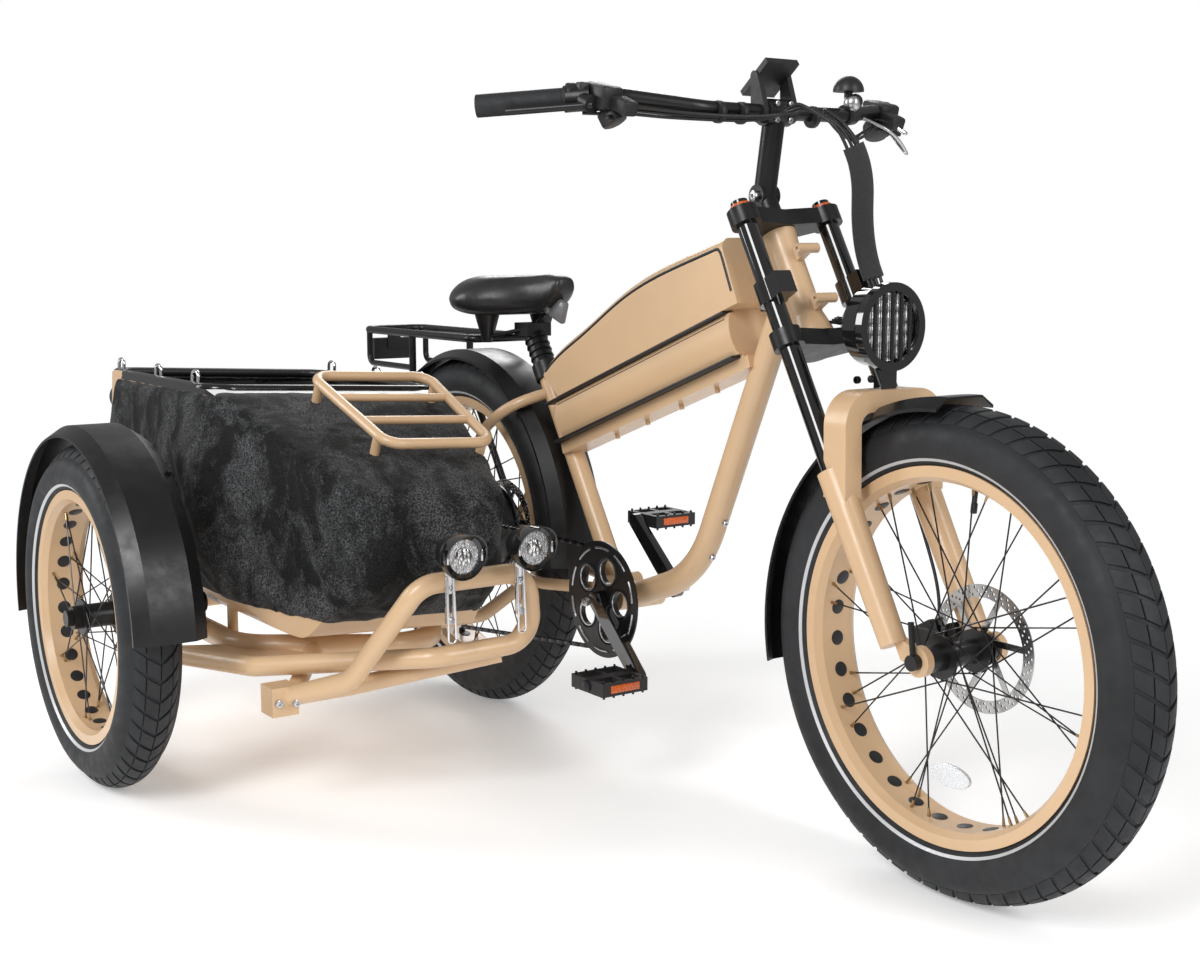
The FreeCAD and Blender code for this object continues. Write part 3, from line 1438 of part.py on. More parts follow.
def headlight():
    """A round bucket with a rim, a grille of upright bars and the bracket on the fork's arch."""
    front = headlight_front
    back = headlight_depth
    wall = headlight_radius - headlight_glass_radius
    points = [
        (0, headlight_glass_radius), (0, headlight_radius), (-headlight_rim_depth, headlight_radius),
        (-headlight_rim_depth * 1.5, headlight_radius - wall / 3), (-back * 0.6, headlight_radius * 0.9),
        (-back, headlight_radius * 0.5), (-back, 0), (-headlight_recess, 0), (-headlight_recess, headlight_glass_radius),
    ]
    bucket = spun(points, front, ahead_axis)
    bars = []
    pitch = 2 * headlight_glass_radius / (headlight_bars + 1)
    for index in range(headlight_bars):
        across = pitch * (index + 1) - headlight_glass_radius
        half_height = math.sqrt(headlight_glass_radius ** 2 - across ** 2) + wall / 2
        spot = front + side_axis * across - ahead_axis * headlight_bar_radius
        bars.append(rod(spot - up_axis * half_height, spot + up_axis * half_height, headlight_bar_radius))
    arch = arch_middle()
    bracket_top = Vector(arch.x, 0, headlight_front.z)
    post = block((arch + bracket_top) / 2, headlight_bracket_width / 2, headlight_bracket_width, bracket_top.z - arch.z)
    whole = joined([bucket, post] + bars)
    glass_room = Part.makeCylinder(
        headlight_glass_radius, headlight_recess - 2 * headlight_bar_radius,
        front - ahead_axis * headlight_recess, ahead_axis)
    return whole.cut([glass_room, arch_bar(seat_gap)])


def headlight_glass():
    """The lens behind the grille."""
    back = headlight_front - ahead_axis * (headlight_recess - seat_gap)
    return Part.makeCylinder(headlight_glass_radius - seat_gap, headlight_glass_thickness, back, ahead_axis)


def front_fender():
    """The mudguard over the front tyre, bolted under the fork's arch."""
    shell = fender(front_axle, tyre_radius, front_fender_gap, front_fender_half_width,
                   front_fender_start_angle, front_fender_end_angle)
    out = arch_middle() - front_axle
    out.normalize()
    boss = rod(front_axle + out * (tyre_radius + front_fender_gap + fender_wall / 2), arch_middle(), fender_boss_radius)
    return joined([shell, boss]).cut(arch_bar(seat_gap))


def front_caliper():
    """The brake caliper behind the left leg, astride the disc."""
    place = front_axle + side_axis * rotor_offset - head_ahead * caliper_behind + head_rise * caliper_above
    body = raked_block(place, caliper_width, caliper_depth, caliper_length)
    slot_width = rotor_thickness + 2 * caliper_slot_gap
    slot = raked_block(place + head_ahead * caliper_bridge, slot_width, caliper_depth, caliper_length * 2)
    ear_reach = stanchion_spread - rotor_offset
    ear_middle = place + side_axis * (ear_reach / 2) + head_ahead * (caliper_ear / 2)
    ear = raked_block(ear_middle, ear_reach, caliper_depth + caliper_ear, caliper_length / 2)
    return joined([body, ear]).cut([slot, fork_leg(1, seat_gap), rotor_room()])


def rotor_room():
    """The room that the front brake disc turns in."""
    return disc(front_axle + side_axis * rotor_offset, rotor_radius + caliper_slot_gap, rotor_thickness / 2 + caliper_slot_gap)


def raked_block(centre, across, ahead, along):
    """A block squared to the fork legs, about its centre."""
    half_side = side_axis * (across / 2)
    half_ahead = head_ahead * (ahead / 2)
    foot = centre - head_rise * (along / 2)
    corners = [foot - half_side - half_ahead, foot + half_side - half_ahead,
               foot + half_side + half_ahead, foot - half_side + half_ahead]
    return Part.Face(Part.makePolygon(corners + corners[:1])).extrude(head_rise * along)


def cable_sleeve():
    """The fabric sleeve round the bundled cables, arching ahead of the bars and back to the left clamp."""
    start = bar_middle + Vector(bar_clamp_radius + seat_gap, sleeve_side, 0)
    ear_face = mid_clamp_foot(1) + head_ahead * (mid_clamp_radius + mid_clamp_block + seat_gap + sleeve_radius)
    end = ear_face - head_rise * mid_clamp_height
    above = ear_face + head_rise * (mid_clamp_height * 2)
    reach = Vector(sleeve_reach, above.y - start.y, start.z - above.z)
    bow = placed(sleeve_shares, Vector(start.x, start.y, above.z), reach)
    stem_clamp = disc(bar_middle, bar_clamp_radius + seat_gap, bar_clamp_half_length * 2)
    return tube([start] + bow + [above, end], sleeve_radius, sleeve_bend).cut(stem_clamp)


def drawn_in(corners, inset):
    """A flat face with rounded corners, made smaller all round by an inset."""
    face = Part.Face(closed_path(corners, tub_corner_radius))
    return face.makeOffset2D(-inset) if inset else face


def deck_way():
    """The direction in which the sloping deck falls, forward."""
    way = Vector(tub_front - tub_deck_start, 0, tub_floor_height + tub_nose_depth - tub_rim_height)
    way.normalize()
    return way


def tub_section(inset):
    """The tub's body, drawn in by an inset: side outline, end outline and plan outline combined."""
    deck = deck_way()
    deck_head = Vector(tub_deck_start, 0, tub_rim_height) - deck * (2 * tub_corner_radius)
    above = deck_head.z + 2 * tub_corner_radius
    side_corners = [
        Vector(tub_rear, 0, above), Vector(deck_head.x, 0, above), deck_head,
        Vector(tub_front, 0, tub_floor_height + tub_nose_depth), Vector(tub_front, 0, tub_floor_height + tub_nose_rise),
        Vector(tub_front - tub_nose_rise, 0, tub_floor_height), Vector(tub_rear + tub_tail_rise, 0, tub_floor_height),
        Vector(tub_rear, 0, tub_floor_height + tub_tail_rise),
    ]
    plan_corners = [
        Vector(tub_rear, tub_outer_side, 0), Vector(tub_deck_start, tub_outer_side, 0),
        Vector(tub_front, tub_outer_side + tub_nose_taper, 0), Vector(tub_front, tub_inner_side - tub_nose_inner_taper, 0),
        Vector(tub_deck_start, tub_inner_side, 0), Vector(tub_rear, tub_inner_side, 0),
    ]
    knee = tub_rim_height * tub_knee_share
    end_corners = [
        Vector(0, tub_outer_side, above), Vector(0, tub_inner_side, above), Vector(0, tub_inner_side, knee),
        Vector(0, tub_inner_side - tub_side_lean, tub_floor_height),
        Vector(0, tub_outer_side + tub_side_lean, tub_floor_height), Vector(0, tub_outer_side, knee),
    ]
    width = tub_inner_side - tub_outer_side
    length = tub_front - tub_rear
    side_solid = moved_and_drawn(drawn_in(side_corners, inset), side_axis, tub_outer_side - width, 3 * width)
    end_solid = moved_and_drawn(drawn_in(end_corners, inset), ahead_axis, tub_rear - length, 3 * length)
    plan_solid = drawn_in(plan_corners, inset).extrude(up_axis * (tub_rim_height + max(inset, 0)))
    return side_solid.common([end_solid]).common(plan_solid)


def moved_and_drawn(face, way, start, length):
    """A face moved along a direction to its start and drawn out from there."""
    face.translate(way * start)
    return face.extrude(way * length)


def closed_path(corners, bend):
    """A closed outline with rounded corners."""
    middle = (corners[0] + corners[1]) / 2
    return bent_path([middle] + corners[1:] + corners[:1] + [middle], bend)


def rolled(shape):
    """The tub and what stands on it, rolled a little towards the bicycle about the floor's middle."""
    shape = shape.copy()
    middle = Vector(0, (tub_inner_side + tub_outer_side) / 2, tub_floor_height)
    shape.rotate(middle, ahead_axis, -tub_roll_angle)
    return shape


def tub():
    """The hollow tub with its open cockpit and rolled rim."""
    shell = tub_section(0).cut(tub_section(tub_wall))
    corners = [
        Vector(tub_rear + tub_lip, tub_outer_side + tub_lip, tub_rim_height),
        Vector(tub_deck_start - tub_lip, tub_outer_side + tub_lip, tub_rim_height),
        Vector(tub_deck_start - tub_lip, tub_inner_side - tub_lip, tub_rim_height),
        Vector(tub_rear + tub_lip, tub_inner_side - tub_lip, tub_rim_height),
    ]
    roll = closed_tube(corners, tub_rim_roll, tub_corner_radius)
    return joined([shell, roll])


def tub_cover():
    """The soft dark cover stretched round the outside of the tub."""
    outer = tub_section(-cover_thickness)
    inner = tub_section(0)
    width = tub_inner_side - tub_outer_side
    middle = Vector((tub_rear + tub_front) / 2 + cover_rear_inset, (tub_inner_side + tub_outer_side) / 2,
                    (tub_rim_height - tub_rim_roll - seat_gap + cover_hem_height) / 2)
    keep = block(middle, tub_front - tub_rear, 2 * width, tub_rim_height - tub_rim_roll - seat_gap - cover_hem_height)
    return outer.cut(inner).common(keep)


def nose_rack():
    """The luggage rack of bent tube above the sloping deck."""
    down = deck_way()
    lift = down.cross(side_axis) * nose_rack_lift
    start = Vector(tub_deck_start, 0, tub_rim_height) + down * nose_rack_start + lift
    end = start + down * nose_rack_length
    outer_rear = start + side_axis * nose_rack_outer_side
    inner_rear = start + side_axis * nose_rack_inner_side
    outer_front = end + side_axis * (nose_rack_outer_side + nose_rack_taper)
    inner_front = end + side_axis * (nose_rack_inner_side - nose_rack_taper * 0.4)
    pieces = [closed_tube([outer_rear, inner_rear, inner_front, outer_front], nose_rack_radius, nose_rack_bend)]
    for index in range(nose_rack_bars):
        share = (index + 1) / (nose_rack_bars + 1)
        first = outer_rear + (outer_front - outer_rear) * share
        last = inner_rear + (inner_front - inner_rear) * share
        pieces.append(rod(first, last, nose_rack_radius * 0.8))
    for share in (0.12, 0.88):
        for rear, front in ((outer_rear, outer_front), (inner_rear, inner_front)):
            top = rear + (front - rear) * share
            foot = top - lift * (1 - (cover_thickness + seat_gap) / nose_rack_lift)
            pieces.append(rod(foot, top, nose_rack_radius * 0.9))
    return joined(pieces)


def staples():
    """Round-wire tie-downs standing on the tub's rim."""
    loops = []
    rows = ((tub_outer_side + tub_lip, (0.12, 0.52, 0.88)), (tub_inner_side - tub_lip, (0.12, 0.52, 0.88)))
    base = tub_rim_height + tub_rim_roll + seat_gap
    for side_place, shares in rows:
        for share in shares:
            middle = tub_rear + tub_lip + (tub_deck_start - tub_rear - 2 * tub_lip) * share
            half = staple_width / 2
            points = [
                Vector(middle - half, side_place, base), Vector(middle - half, side_place, base + staple_height),
                Vector(middle + half, side_place, base + staple_height), Vector(middle + half, side_place, base),
            ]
            loops.append(tube(points, staple_radius, half))
    return Part.makeCompound(loops)


hanger_side = -(rear_dropout_half_width + dropout_plate_thickness / 2 + axle_nut_length + 2 * seat_gap + hanger_plate / 2)


def rear_hanger_plate():
    """The flat plate from the bicycle's rear axle down to the end of the keel loop."""
    low = keel_points()[-1]
    top = Vector(rear_axle.x, low.y, rear_axle.z)
    pieces = [disc(top, dropout_plate_radius, hanger_plate / 2), disc(low, chassis_radius * 1.3, hanger_plate / 2)]
    across = (low - top).cross(side_axis)
    across.normalize()
    half = across * (dropout_plate_radius * 0.9)
    corners = [top + half, low + half, low - half, top - half]
    web = Part.Face(Part.makePolygon(corners + corners[:1])).extrude(side_axis * hanger_plate)
    web.translate(side_axis * (-hanger_plate / 2))
    return pieces + [web]


def keel_points():
    """The bent keel tube: along the wheel's side, round the front and back towards the rear axle."""
    keel = placed(keel_shares, Vector(), Vector(tub_front, -track, chassis_height))
    last = keel[-1]
    return keel + [Vector(last.x, hanger_side, last.z)]


def keel_tube(radius):
    """A tube along the keel, also used a little fattened to cut what is welded to it."""
    return tube(keel_points(), radius, chassis_bend)


def sidecar_chassis():
    """The sidecar's frame of bent tube with its two fixings to the bicycle and posts below the tub."""
    pieces = [keel_tube(chassis_radius)]
    rear_cross = placed(rear_cross_shares, Vector(), Vector(tub_front, -track, chassis_height))
    pieces.append(tube(rear_cross, cross_radius, chassis_bend))
    link = placed(front_link_shares, Vector(), Vector(bracket_ahead, -rear_dropout_half_width, bracket_height))
    pieces.append(tube(link, cross_radius * 0.8, chassis_bend / 2))
    pieces += rear_hanger_plate()
    arm_foot = Vector(sidecar_axle.x, -arm_side, chassis_height)
    pieces.append(rod(arm_foot, Vector(sidecar_axle.x, -arm_side, sidecar_axle.z), chassis_radius))
    for share_x, share_y in post_shares:
        spot = Vector(tub_front * share_x, -track * share_y, chassis_height)
        pieces.append(rod(spot, spot + up_axis * (tub_floor_height - chassis_height + post_overrun), post_width))
    whole = joined(pieces)
    pocket = rolled(tub_section(0))
    cover_room = rolled(tub_cover())
    axle_bore = rod(sidecar_axle + side_axis * (track - arm_side + chassis_radius * 2),
                    sidecar_axle - side_axis * track, axle_tube_radius + seat_gap)
    nut_bore = disc(rear_axle, axle_radius + seat_gap, track)
    frame_room = main_frame_chainstay()
    return whole.cut([pocket, cover_room, axle_bore, nut_bore, frame_room])


def main_frame_chainstay():
    """The right chainstay, a little fattened, so that the front fixing can clasp it."""
    low = placed(chainstay_shares, Vector(), Vector(bracket_ahead, -rear_dropout_half_width, tyre_radius))
    return tube(low, chainstay_radius + seat_gap, stay_bend)


def bumper():
    """The bumper hoop ahead of the tub; its lower bar runs on round the treaded footboard."""
    size = Vector(bumper_ahead, -track, bumper_top)
    hoop = tube(placed(bumper_shares, Vector(), size), bumper_radius, bumper_bend)
    under = tube(placed(under_bar_shares, Vector(), size), bumper_radius * under_bar_share, bumper_bend)
    tie = tube(placed(tie_bar_shares, Vector(), size), bumper_radius * under_bar_share, bumper_bend)
    foot = placed(bumper_shares, Vector(), size)[0]
    shoe = block(foot, shoe_length, shoe_length, shoe_height)
    return joined([hoop, under, tie, shoe, footboard()]).cut([keel_tube(chassis_radius + seat_gap), rolled(tub_cover())])


def footboard():
    """The treaded plate inside the footboard's tube."""
    size = Vector(bumper_ahead, -track, bumper_top)
    corners = placed(footboard_shares, Vector(), size)
    plate = Part.Face(Part.makePolygon(corners + corners[:1])).extrude(up_axis * footboard_thickness)
    return plate


def lamp_centre(side):
    """The centre of one bullet lamp's glass."""
    return Vector(bumper_ahead + bumper_radius + lamp_ahead, lamp_middle_side + side * lamp_spread / 2, lamp_height)


def bullet_bodies(growth):
    """Both lamp bodies, fattened by a growth where they are used to cut what holds them."""
    bodies = []
    for side in (-1, 1):
        front = lamp_centre(side)
        points = [
            (0, lamp_radius - lamp_wall), (lamp_hood, lamp_radius + growth), (-lamp_length * 0.2, lamp_radius + growth),
            (-lamp_length * 0.7, lamp_radius * 0.66 + growth), (-lamp_length - growth, lamp_radius * 0.3), (-lamp_length - growth, 0),
            (-lamp_recess, 0), (-lamp_recess, lamp_radius - lamp_wall),
        ]
        bodies.append(spun(points, front, ahead_axis))
    return Part.makeCompound(bodies)


def bullet_lamps():
    """Two bullet-shaped lamp bodies, hooded at the front."""
    return bullet_bodies(0)


def lamp_glasses():
    """The two lamp lenses."""
    glasses = []
    for side in (-1, 1):
        back = lamp_centre(side) - ahead_axis * (lamp_recess - seat_gap)
        glasses.append(Part.makeCylinder(lamp_radius - lamp_wall - seat_gap, lamp_recess, back, ahead_axis))
    return Part.makeCompound(glasses)


def lamp_brackets():
    """A slotted strap that holds each lamp to the front of the bumper's top bar."""
    straps = []
    strap_ahead = bumper_ahead + bumper_radius + seat_gap + strap_thickness / 2
    foot = bumper_top - strap_drop
    for side in (-1, 1):
        lamp = lamp_centre(side)
        head = lamp.z - lamp_radius * lamp_neck_share
        strap = block(Vector(strap_ahead, lamp.y, (foot + head) / 2), strap_thickness, strap_width, head - foot)
        slot = block(Vector(strap_ahead, lamp.y, (foot + bumper_top) / 2), strap_width,
                     strap_width * strap_slot_share, (bumper_top - foot) * strap_slot_share)
        straps.append(strap.cut(slot))
    return cut_each(straps, bullet_bodies(seat_gap))


def sidecar_fender():
    """The big mudguard over the sidecar's wheel, with its two stays."""
    shell = fender(sidecar_axle + side_axis * sidecar_fender_shift, sidecar_tyre_radius, sidecar_fender_gap,
                   sidecar_fender_half_width, sidecar_fender_start_angle, sidecar_fender_end_angle)
    stay_side = sidecar_tyre_width / 2 + 2 * running_gap + fender_strut_radius
    pieces = [shell]
    for angle in sidecar_stay_angles:
        way = Vector(math.cos(math.radians(angle)), 0, math.sin(math.radians(angle)))
        start = sidecar_axle + side_axis * stay_side + way * (axle_tube_radius + seat_gap)
        end = sidecar_axle + side_axis * stay_side + way * (sidecar_tyre_radius + sidecar_fender_gap)
        pieces.append(rod(start, end, fender_strut_radius))
    return joined(pieces)


def sidecar_axle_tube():
    """The one-sided axle: a thick tube from the chassis, then a thin spindle through the hub."""
    hub_inner = sidecar_axle + side_axis * (sidecar_hub_half_width + seat_gap)
    root = Vector(sidecar_axle.x, -arm_side + chassis_radius, sidecar_axle.z)
    tube_part = rod(root, hub_inner, axle_tube_radius)
    outer = sidecar_axle - side_axis * (sidecar_hub_half_width + seat_gap)
    spindle = rod(hub_inner, outer - side_axis * sidecar_nut_length, sidecar_axle_radius)
    nut = rod(outer, outer - side_axis * sidecar_nut_length, sidecar_axle_radius * 1.7)
    return joined([tube_part, spindle, nut])


def write_part(node, shape):
    """Move one finished piece to the part's origin and write it to its own file."""
    moved = shape.copy()
    moved.translate(to_origin)
    moved.exportStep(parts_folder + "/" + node + ".step")
    print(node, round(moved.Volume / 1000, 1), "cm3", "valid", moved.isValid(), "solids", len(moved.Solids))


def main():
    os.makedirs(parts_folder, exist_ok=True)
    pieces = {
        "main_frame": main_frame(),
        "seat_tube": seat_tube(),
        "battery_beam": battery_beam(),
        "rear_stays": rear_stays(),
        "tank_shell": tank_shell(),
        "battery": battery(),
        "seat_post": seat_post(),
        "saddle": saddle(),
        "rear_fender": rear_fender(),
        "rear_rack": rear_rack(),
        "rear_axle": rear_axle_pin(),
        "tail_lamps": tail_lamps(),
        "chain": chain(),
        "derailleur": derailleur(),
        "fork_crowns": fork_crowns(),
        "stanchions": stanchions(),
        "fork_lowers": fork_lowers(),
        "front_axle": front_axle_pin(),
    }
    pieces.update(front_wheel_pieces())
    pieces.update(rear_wheel_pieces())
    pieces.update(sidecar_wheel_pieces())
    pieces.update({
        "crankset": crankset(),
        "chainring": chainring(),
        "pedal_right": pedal(-1),
        "pedal_left": pedal(1),
        "stem": stem(),
        "handlebar": handlebar(),
        "grips": grips(),
        "brake_levers": brake_levers(),
        "display": display(),
        "bell": bell(),
        "headlight": headlight(),
        "headlight_glass": headlight_glass(),
        "front_fender": front_fender(),
        "front_caliper": front_caliper(),
        "cable_sleeve": cable_sleeve(),
        "sidecar_chassis": sidecar_chassis(),
        "bumper": bumper(),
        "tub": rolled(tub()),
        "tub_cover": rolled(tub_cover()),
        "tub_staples": rolled(staples()),
        "nose_rack": rolled(nose_rack()),
        "bullet_lamps": bullet_lamps(),
        "lamp_glasses": lamp_glasses(),
        "lamp_brackets": lamp_brackets(),
        "sidecar_fender": sidecar_fender(),
        "sidecar_axle": sidecar_axle_tube(),
    })
    for node, shape in pieces.items():
        write_part(node, shape)


main()
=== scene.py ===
"""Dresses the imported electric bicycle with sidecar: tyres, cover, saddle, chain, cables, lamps, finishes."""
import json
import math

import bpy
from mathutils import Matrix, Vector, noise


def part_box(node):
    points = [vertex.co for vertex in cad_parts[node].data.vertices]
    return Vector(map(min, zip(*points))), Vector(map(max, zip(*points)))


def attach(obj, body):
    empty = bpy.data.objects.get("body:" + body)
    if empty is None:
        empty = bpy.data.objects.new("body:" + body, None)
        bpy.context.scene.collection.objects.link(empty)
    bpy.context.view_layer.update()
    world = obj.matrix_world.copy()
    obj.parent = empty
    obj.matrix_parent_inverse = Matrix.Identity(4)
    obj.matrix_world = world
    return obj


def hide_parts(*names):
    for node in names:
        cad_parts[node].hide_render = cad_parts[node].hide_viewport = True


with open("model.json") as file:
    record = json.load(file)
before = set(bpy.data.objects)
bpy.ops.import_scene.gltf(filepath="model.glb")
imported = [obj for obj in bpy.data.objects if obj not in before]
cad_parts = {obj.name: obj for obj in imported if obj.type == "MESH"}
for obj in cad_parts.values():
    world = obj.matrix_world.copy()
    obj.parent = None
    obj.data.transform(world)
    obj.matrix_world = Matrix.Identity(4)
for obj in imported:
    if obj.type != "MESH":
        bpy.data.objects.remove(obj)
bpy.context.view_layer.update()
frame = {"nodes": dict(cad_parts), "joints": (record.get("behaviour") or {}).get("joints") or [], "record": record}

bl_info = {
    "name": "Sidecar bicycle dressing",
    "version": (1, 0, 0),
    "blender": (4, 5, 0),
    "location": "View3D > Sidebar > Sidecar bicycle",
    "description": "Adds soft parts, tyres, chain, cables, lamps and finishes to a bicycle with sidecar",
    "category": "Object",
}

side_way = Vector((0, 1, 0))
ahead_way = Vector((1, 0, 0))
up_way = Vector((0, 0, 1))
mm = 0.001


def middle_of(node):
    """The middle of a node's box."""
    low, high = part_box(node)
    return (low + high) / 2


def joint_named(name):
    """A joint of the record, by name."""
    return next(joint for joint in frame["joints"] if joint["name"] == name)


front_axle = middle_of("front_tyre")
rear_axle = middle_of("rear_tyre")
sidecar_axle = middle_of("sidecar_tyre")
crank_axle = Vector(joint_named("crank_spin")["pos_m"])
steering_foot = Vector(joint_named("steering_turn")["pos_m"])
head_rise = Vector(joint_named("steering_turn")["axis"]).normalized()
head_ahead = side_way.cross(head_rise)


def bike(ahead, side, height):
    """A point in millimetres ahead of the rear axle, left of the bicycle's middle and above the ground."""
    return Vector((rear_axle.x + ahead * mm, rear_axle.y + side * mm, height * mm))


def on_head(along, ahead, side):
    """A point in millimetres along the steering axis from the foot of the head tube."""
    return steering_foot + head_rise * (along * mm) + head_ahead * (ahead * mm) + side_way * (side * mm)


class WheelSizes(bpy.types.PropertyGroup):
    """Sizes of the tyres and of what is on the wheels."""
    tread_height: bpy.props.FloatProperty(
        name="Tread height", description="How far the tread blocks stand out of the tyre",
        default=0.0034, unit="LENGTH")
    tread_count: bpy.props.IntProperty(
        name="Tread bars", description="Slanted tread bars round the front tyre", default=66)
    tread_slant: bpy.props.FloatProperty(
        name="Tread slant", description="How far a tread bar trails back for each unit outward", default=0.62)
    line_width: bpy.props.FloatProperty(
        name="Line width", description="Width of the pale line on the side wall",
        default=0.0040, unit="LENGTH")
    line_out: bpy.props.FloatProperty(
        name="Line distance", description="Distance of the pale line outside the rim's edge",
        default=0.0085, unit="LENGTH")
    nipple_length: bpy.props.FloatProperty(
        name="Nipple length", description="Length of a spoke nipple", default=0.012, unit="LENGTH")
    hole_radius: bpy.props.FloatProperty(
        name="Rim plug radius", description="Radius of the plug seated on a rim hole",
        default=0.0112, unit="LENGTH")


class CoverSizes(bpy.types.PropertyGroup):
    """Sizes of the fabric cover over the tub."""
    fold_height: bpy.props.FloatProperty(
        name="Fold height", description="How far the folds stand out", default=0.011, unit="LENGTH")
    hem_wave: bpy.props.FloatProperty(
        name="Hem wave", description="How far the lower hem wanders up and down",
        default=0.012, unit="LENGTH")
    cloth_thickness: bpy.props.FloatProperty(
        name="Cloth thickness", description="Thickness of the cover", default=0.0016, unit="LENGTH")


class PaintColours(bpy.types.PropertyGroup):
    """Colours of the paints, rubber and fabric."""
    sand: bpy.props.FloatVectorProperty(
        name="Sand", description="Sand-coloured paint", default=(0.640, 0.432, 0.252),
        subtype="COLOR", size=3)
    black: bpy.props.FloatVectorProperty(
        name="Black", description="Black paint", default=(0.010, 0.010, 0.011), subtype="COLOR", size=3)
    rubber: bpy.props.FloatVectorProperty(
        name="Rubber", description="Tyre rubber", default=(0.016, 0.017, 0.019), subtype="COLOR", size=3)
    cloth: bpy.props.FloatVectorProperty(
        name="Cloth", description="Napped cover cloth", default=(0.016, 0.0165, 0.0172),
        subtype="COLOR", size=3)
    orange: bpy.props.FloatVectorProperty(
        name="Orange", description="Reflectors and fork caps", default=(0.75, 0.13, 0.01),
        subtype="COLOR", size=3)


class StageSizes(bpy.types.PropertyGroup):
    """Camera and light."""
    lens: bpy.props.FloatProperty(
        name="Lens", description="Focal length on a 36 mm wide sensor, in millimetres", default=50.0745)
    turn: bpy.props.FloatProperty(
        name="Turn", description="Camera heading", default=0.96016, subtype="ANGLE")
    dip: bpy.props.FloatProperty(
        name="Dip", description="How far the camera looks down", default=0.14066, subtype="ANGLE")
    sky: bpy.props.FloatProperty(
        name="Sky light", description="Strength of the even light", default=0.34)


class Signal:
    """One output of a material's nodes, on which sums can be written as on a number."""

    def __init__(self, finish, socket):
        self.finish = finish
        self.socket = socket

    def sum_of(self, operation, *values):
        return self.finish.math(operation, *values)

    def __add__(self, other):
        return self.sum_of("ADD", self, other)

    def __radd__(self, other):
        return self.sum_of("ADD", other, self)

    def __sub__(self, other):
        return self.sum_of("SUBTRACT", self, other)

    def __rsub__(self, other):
        return self.sum_of("SUBTRACT", other, self)

    def __mul__(self, other):
        return self.sum_of("MULTIPLY", self, other)

    def __rmul__(self, other):
        return self.sum_of("MULTIPLY", other, self)

    def __truediv__(self, other):
        return self.sum_of("DIVIDE", self, other)

    def __pow__(self, other):
        return self.sum_of("POWER", self, other)

    def __gt__(self, other):
        return self.sum_of("GREATER_THAN", self, other)

    def __lt__(self, other):
        return self.sum_of("LESS_THAN", self, other)

    def __abs__(self):
        return self.sum_of("ABSOLUTE", self)


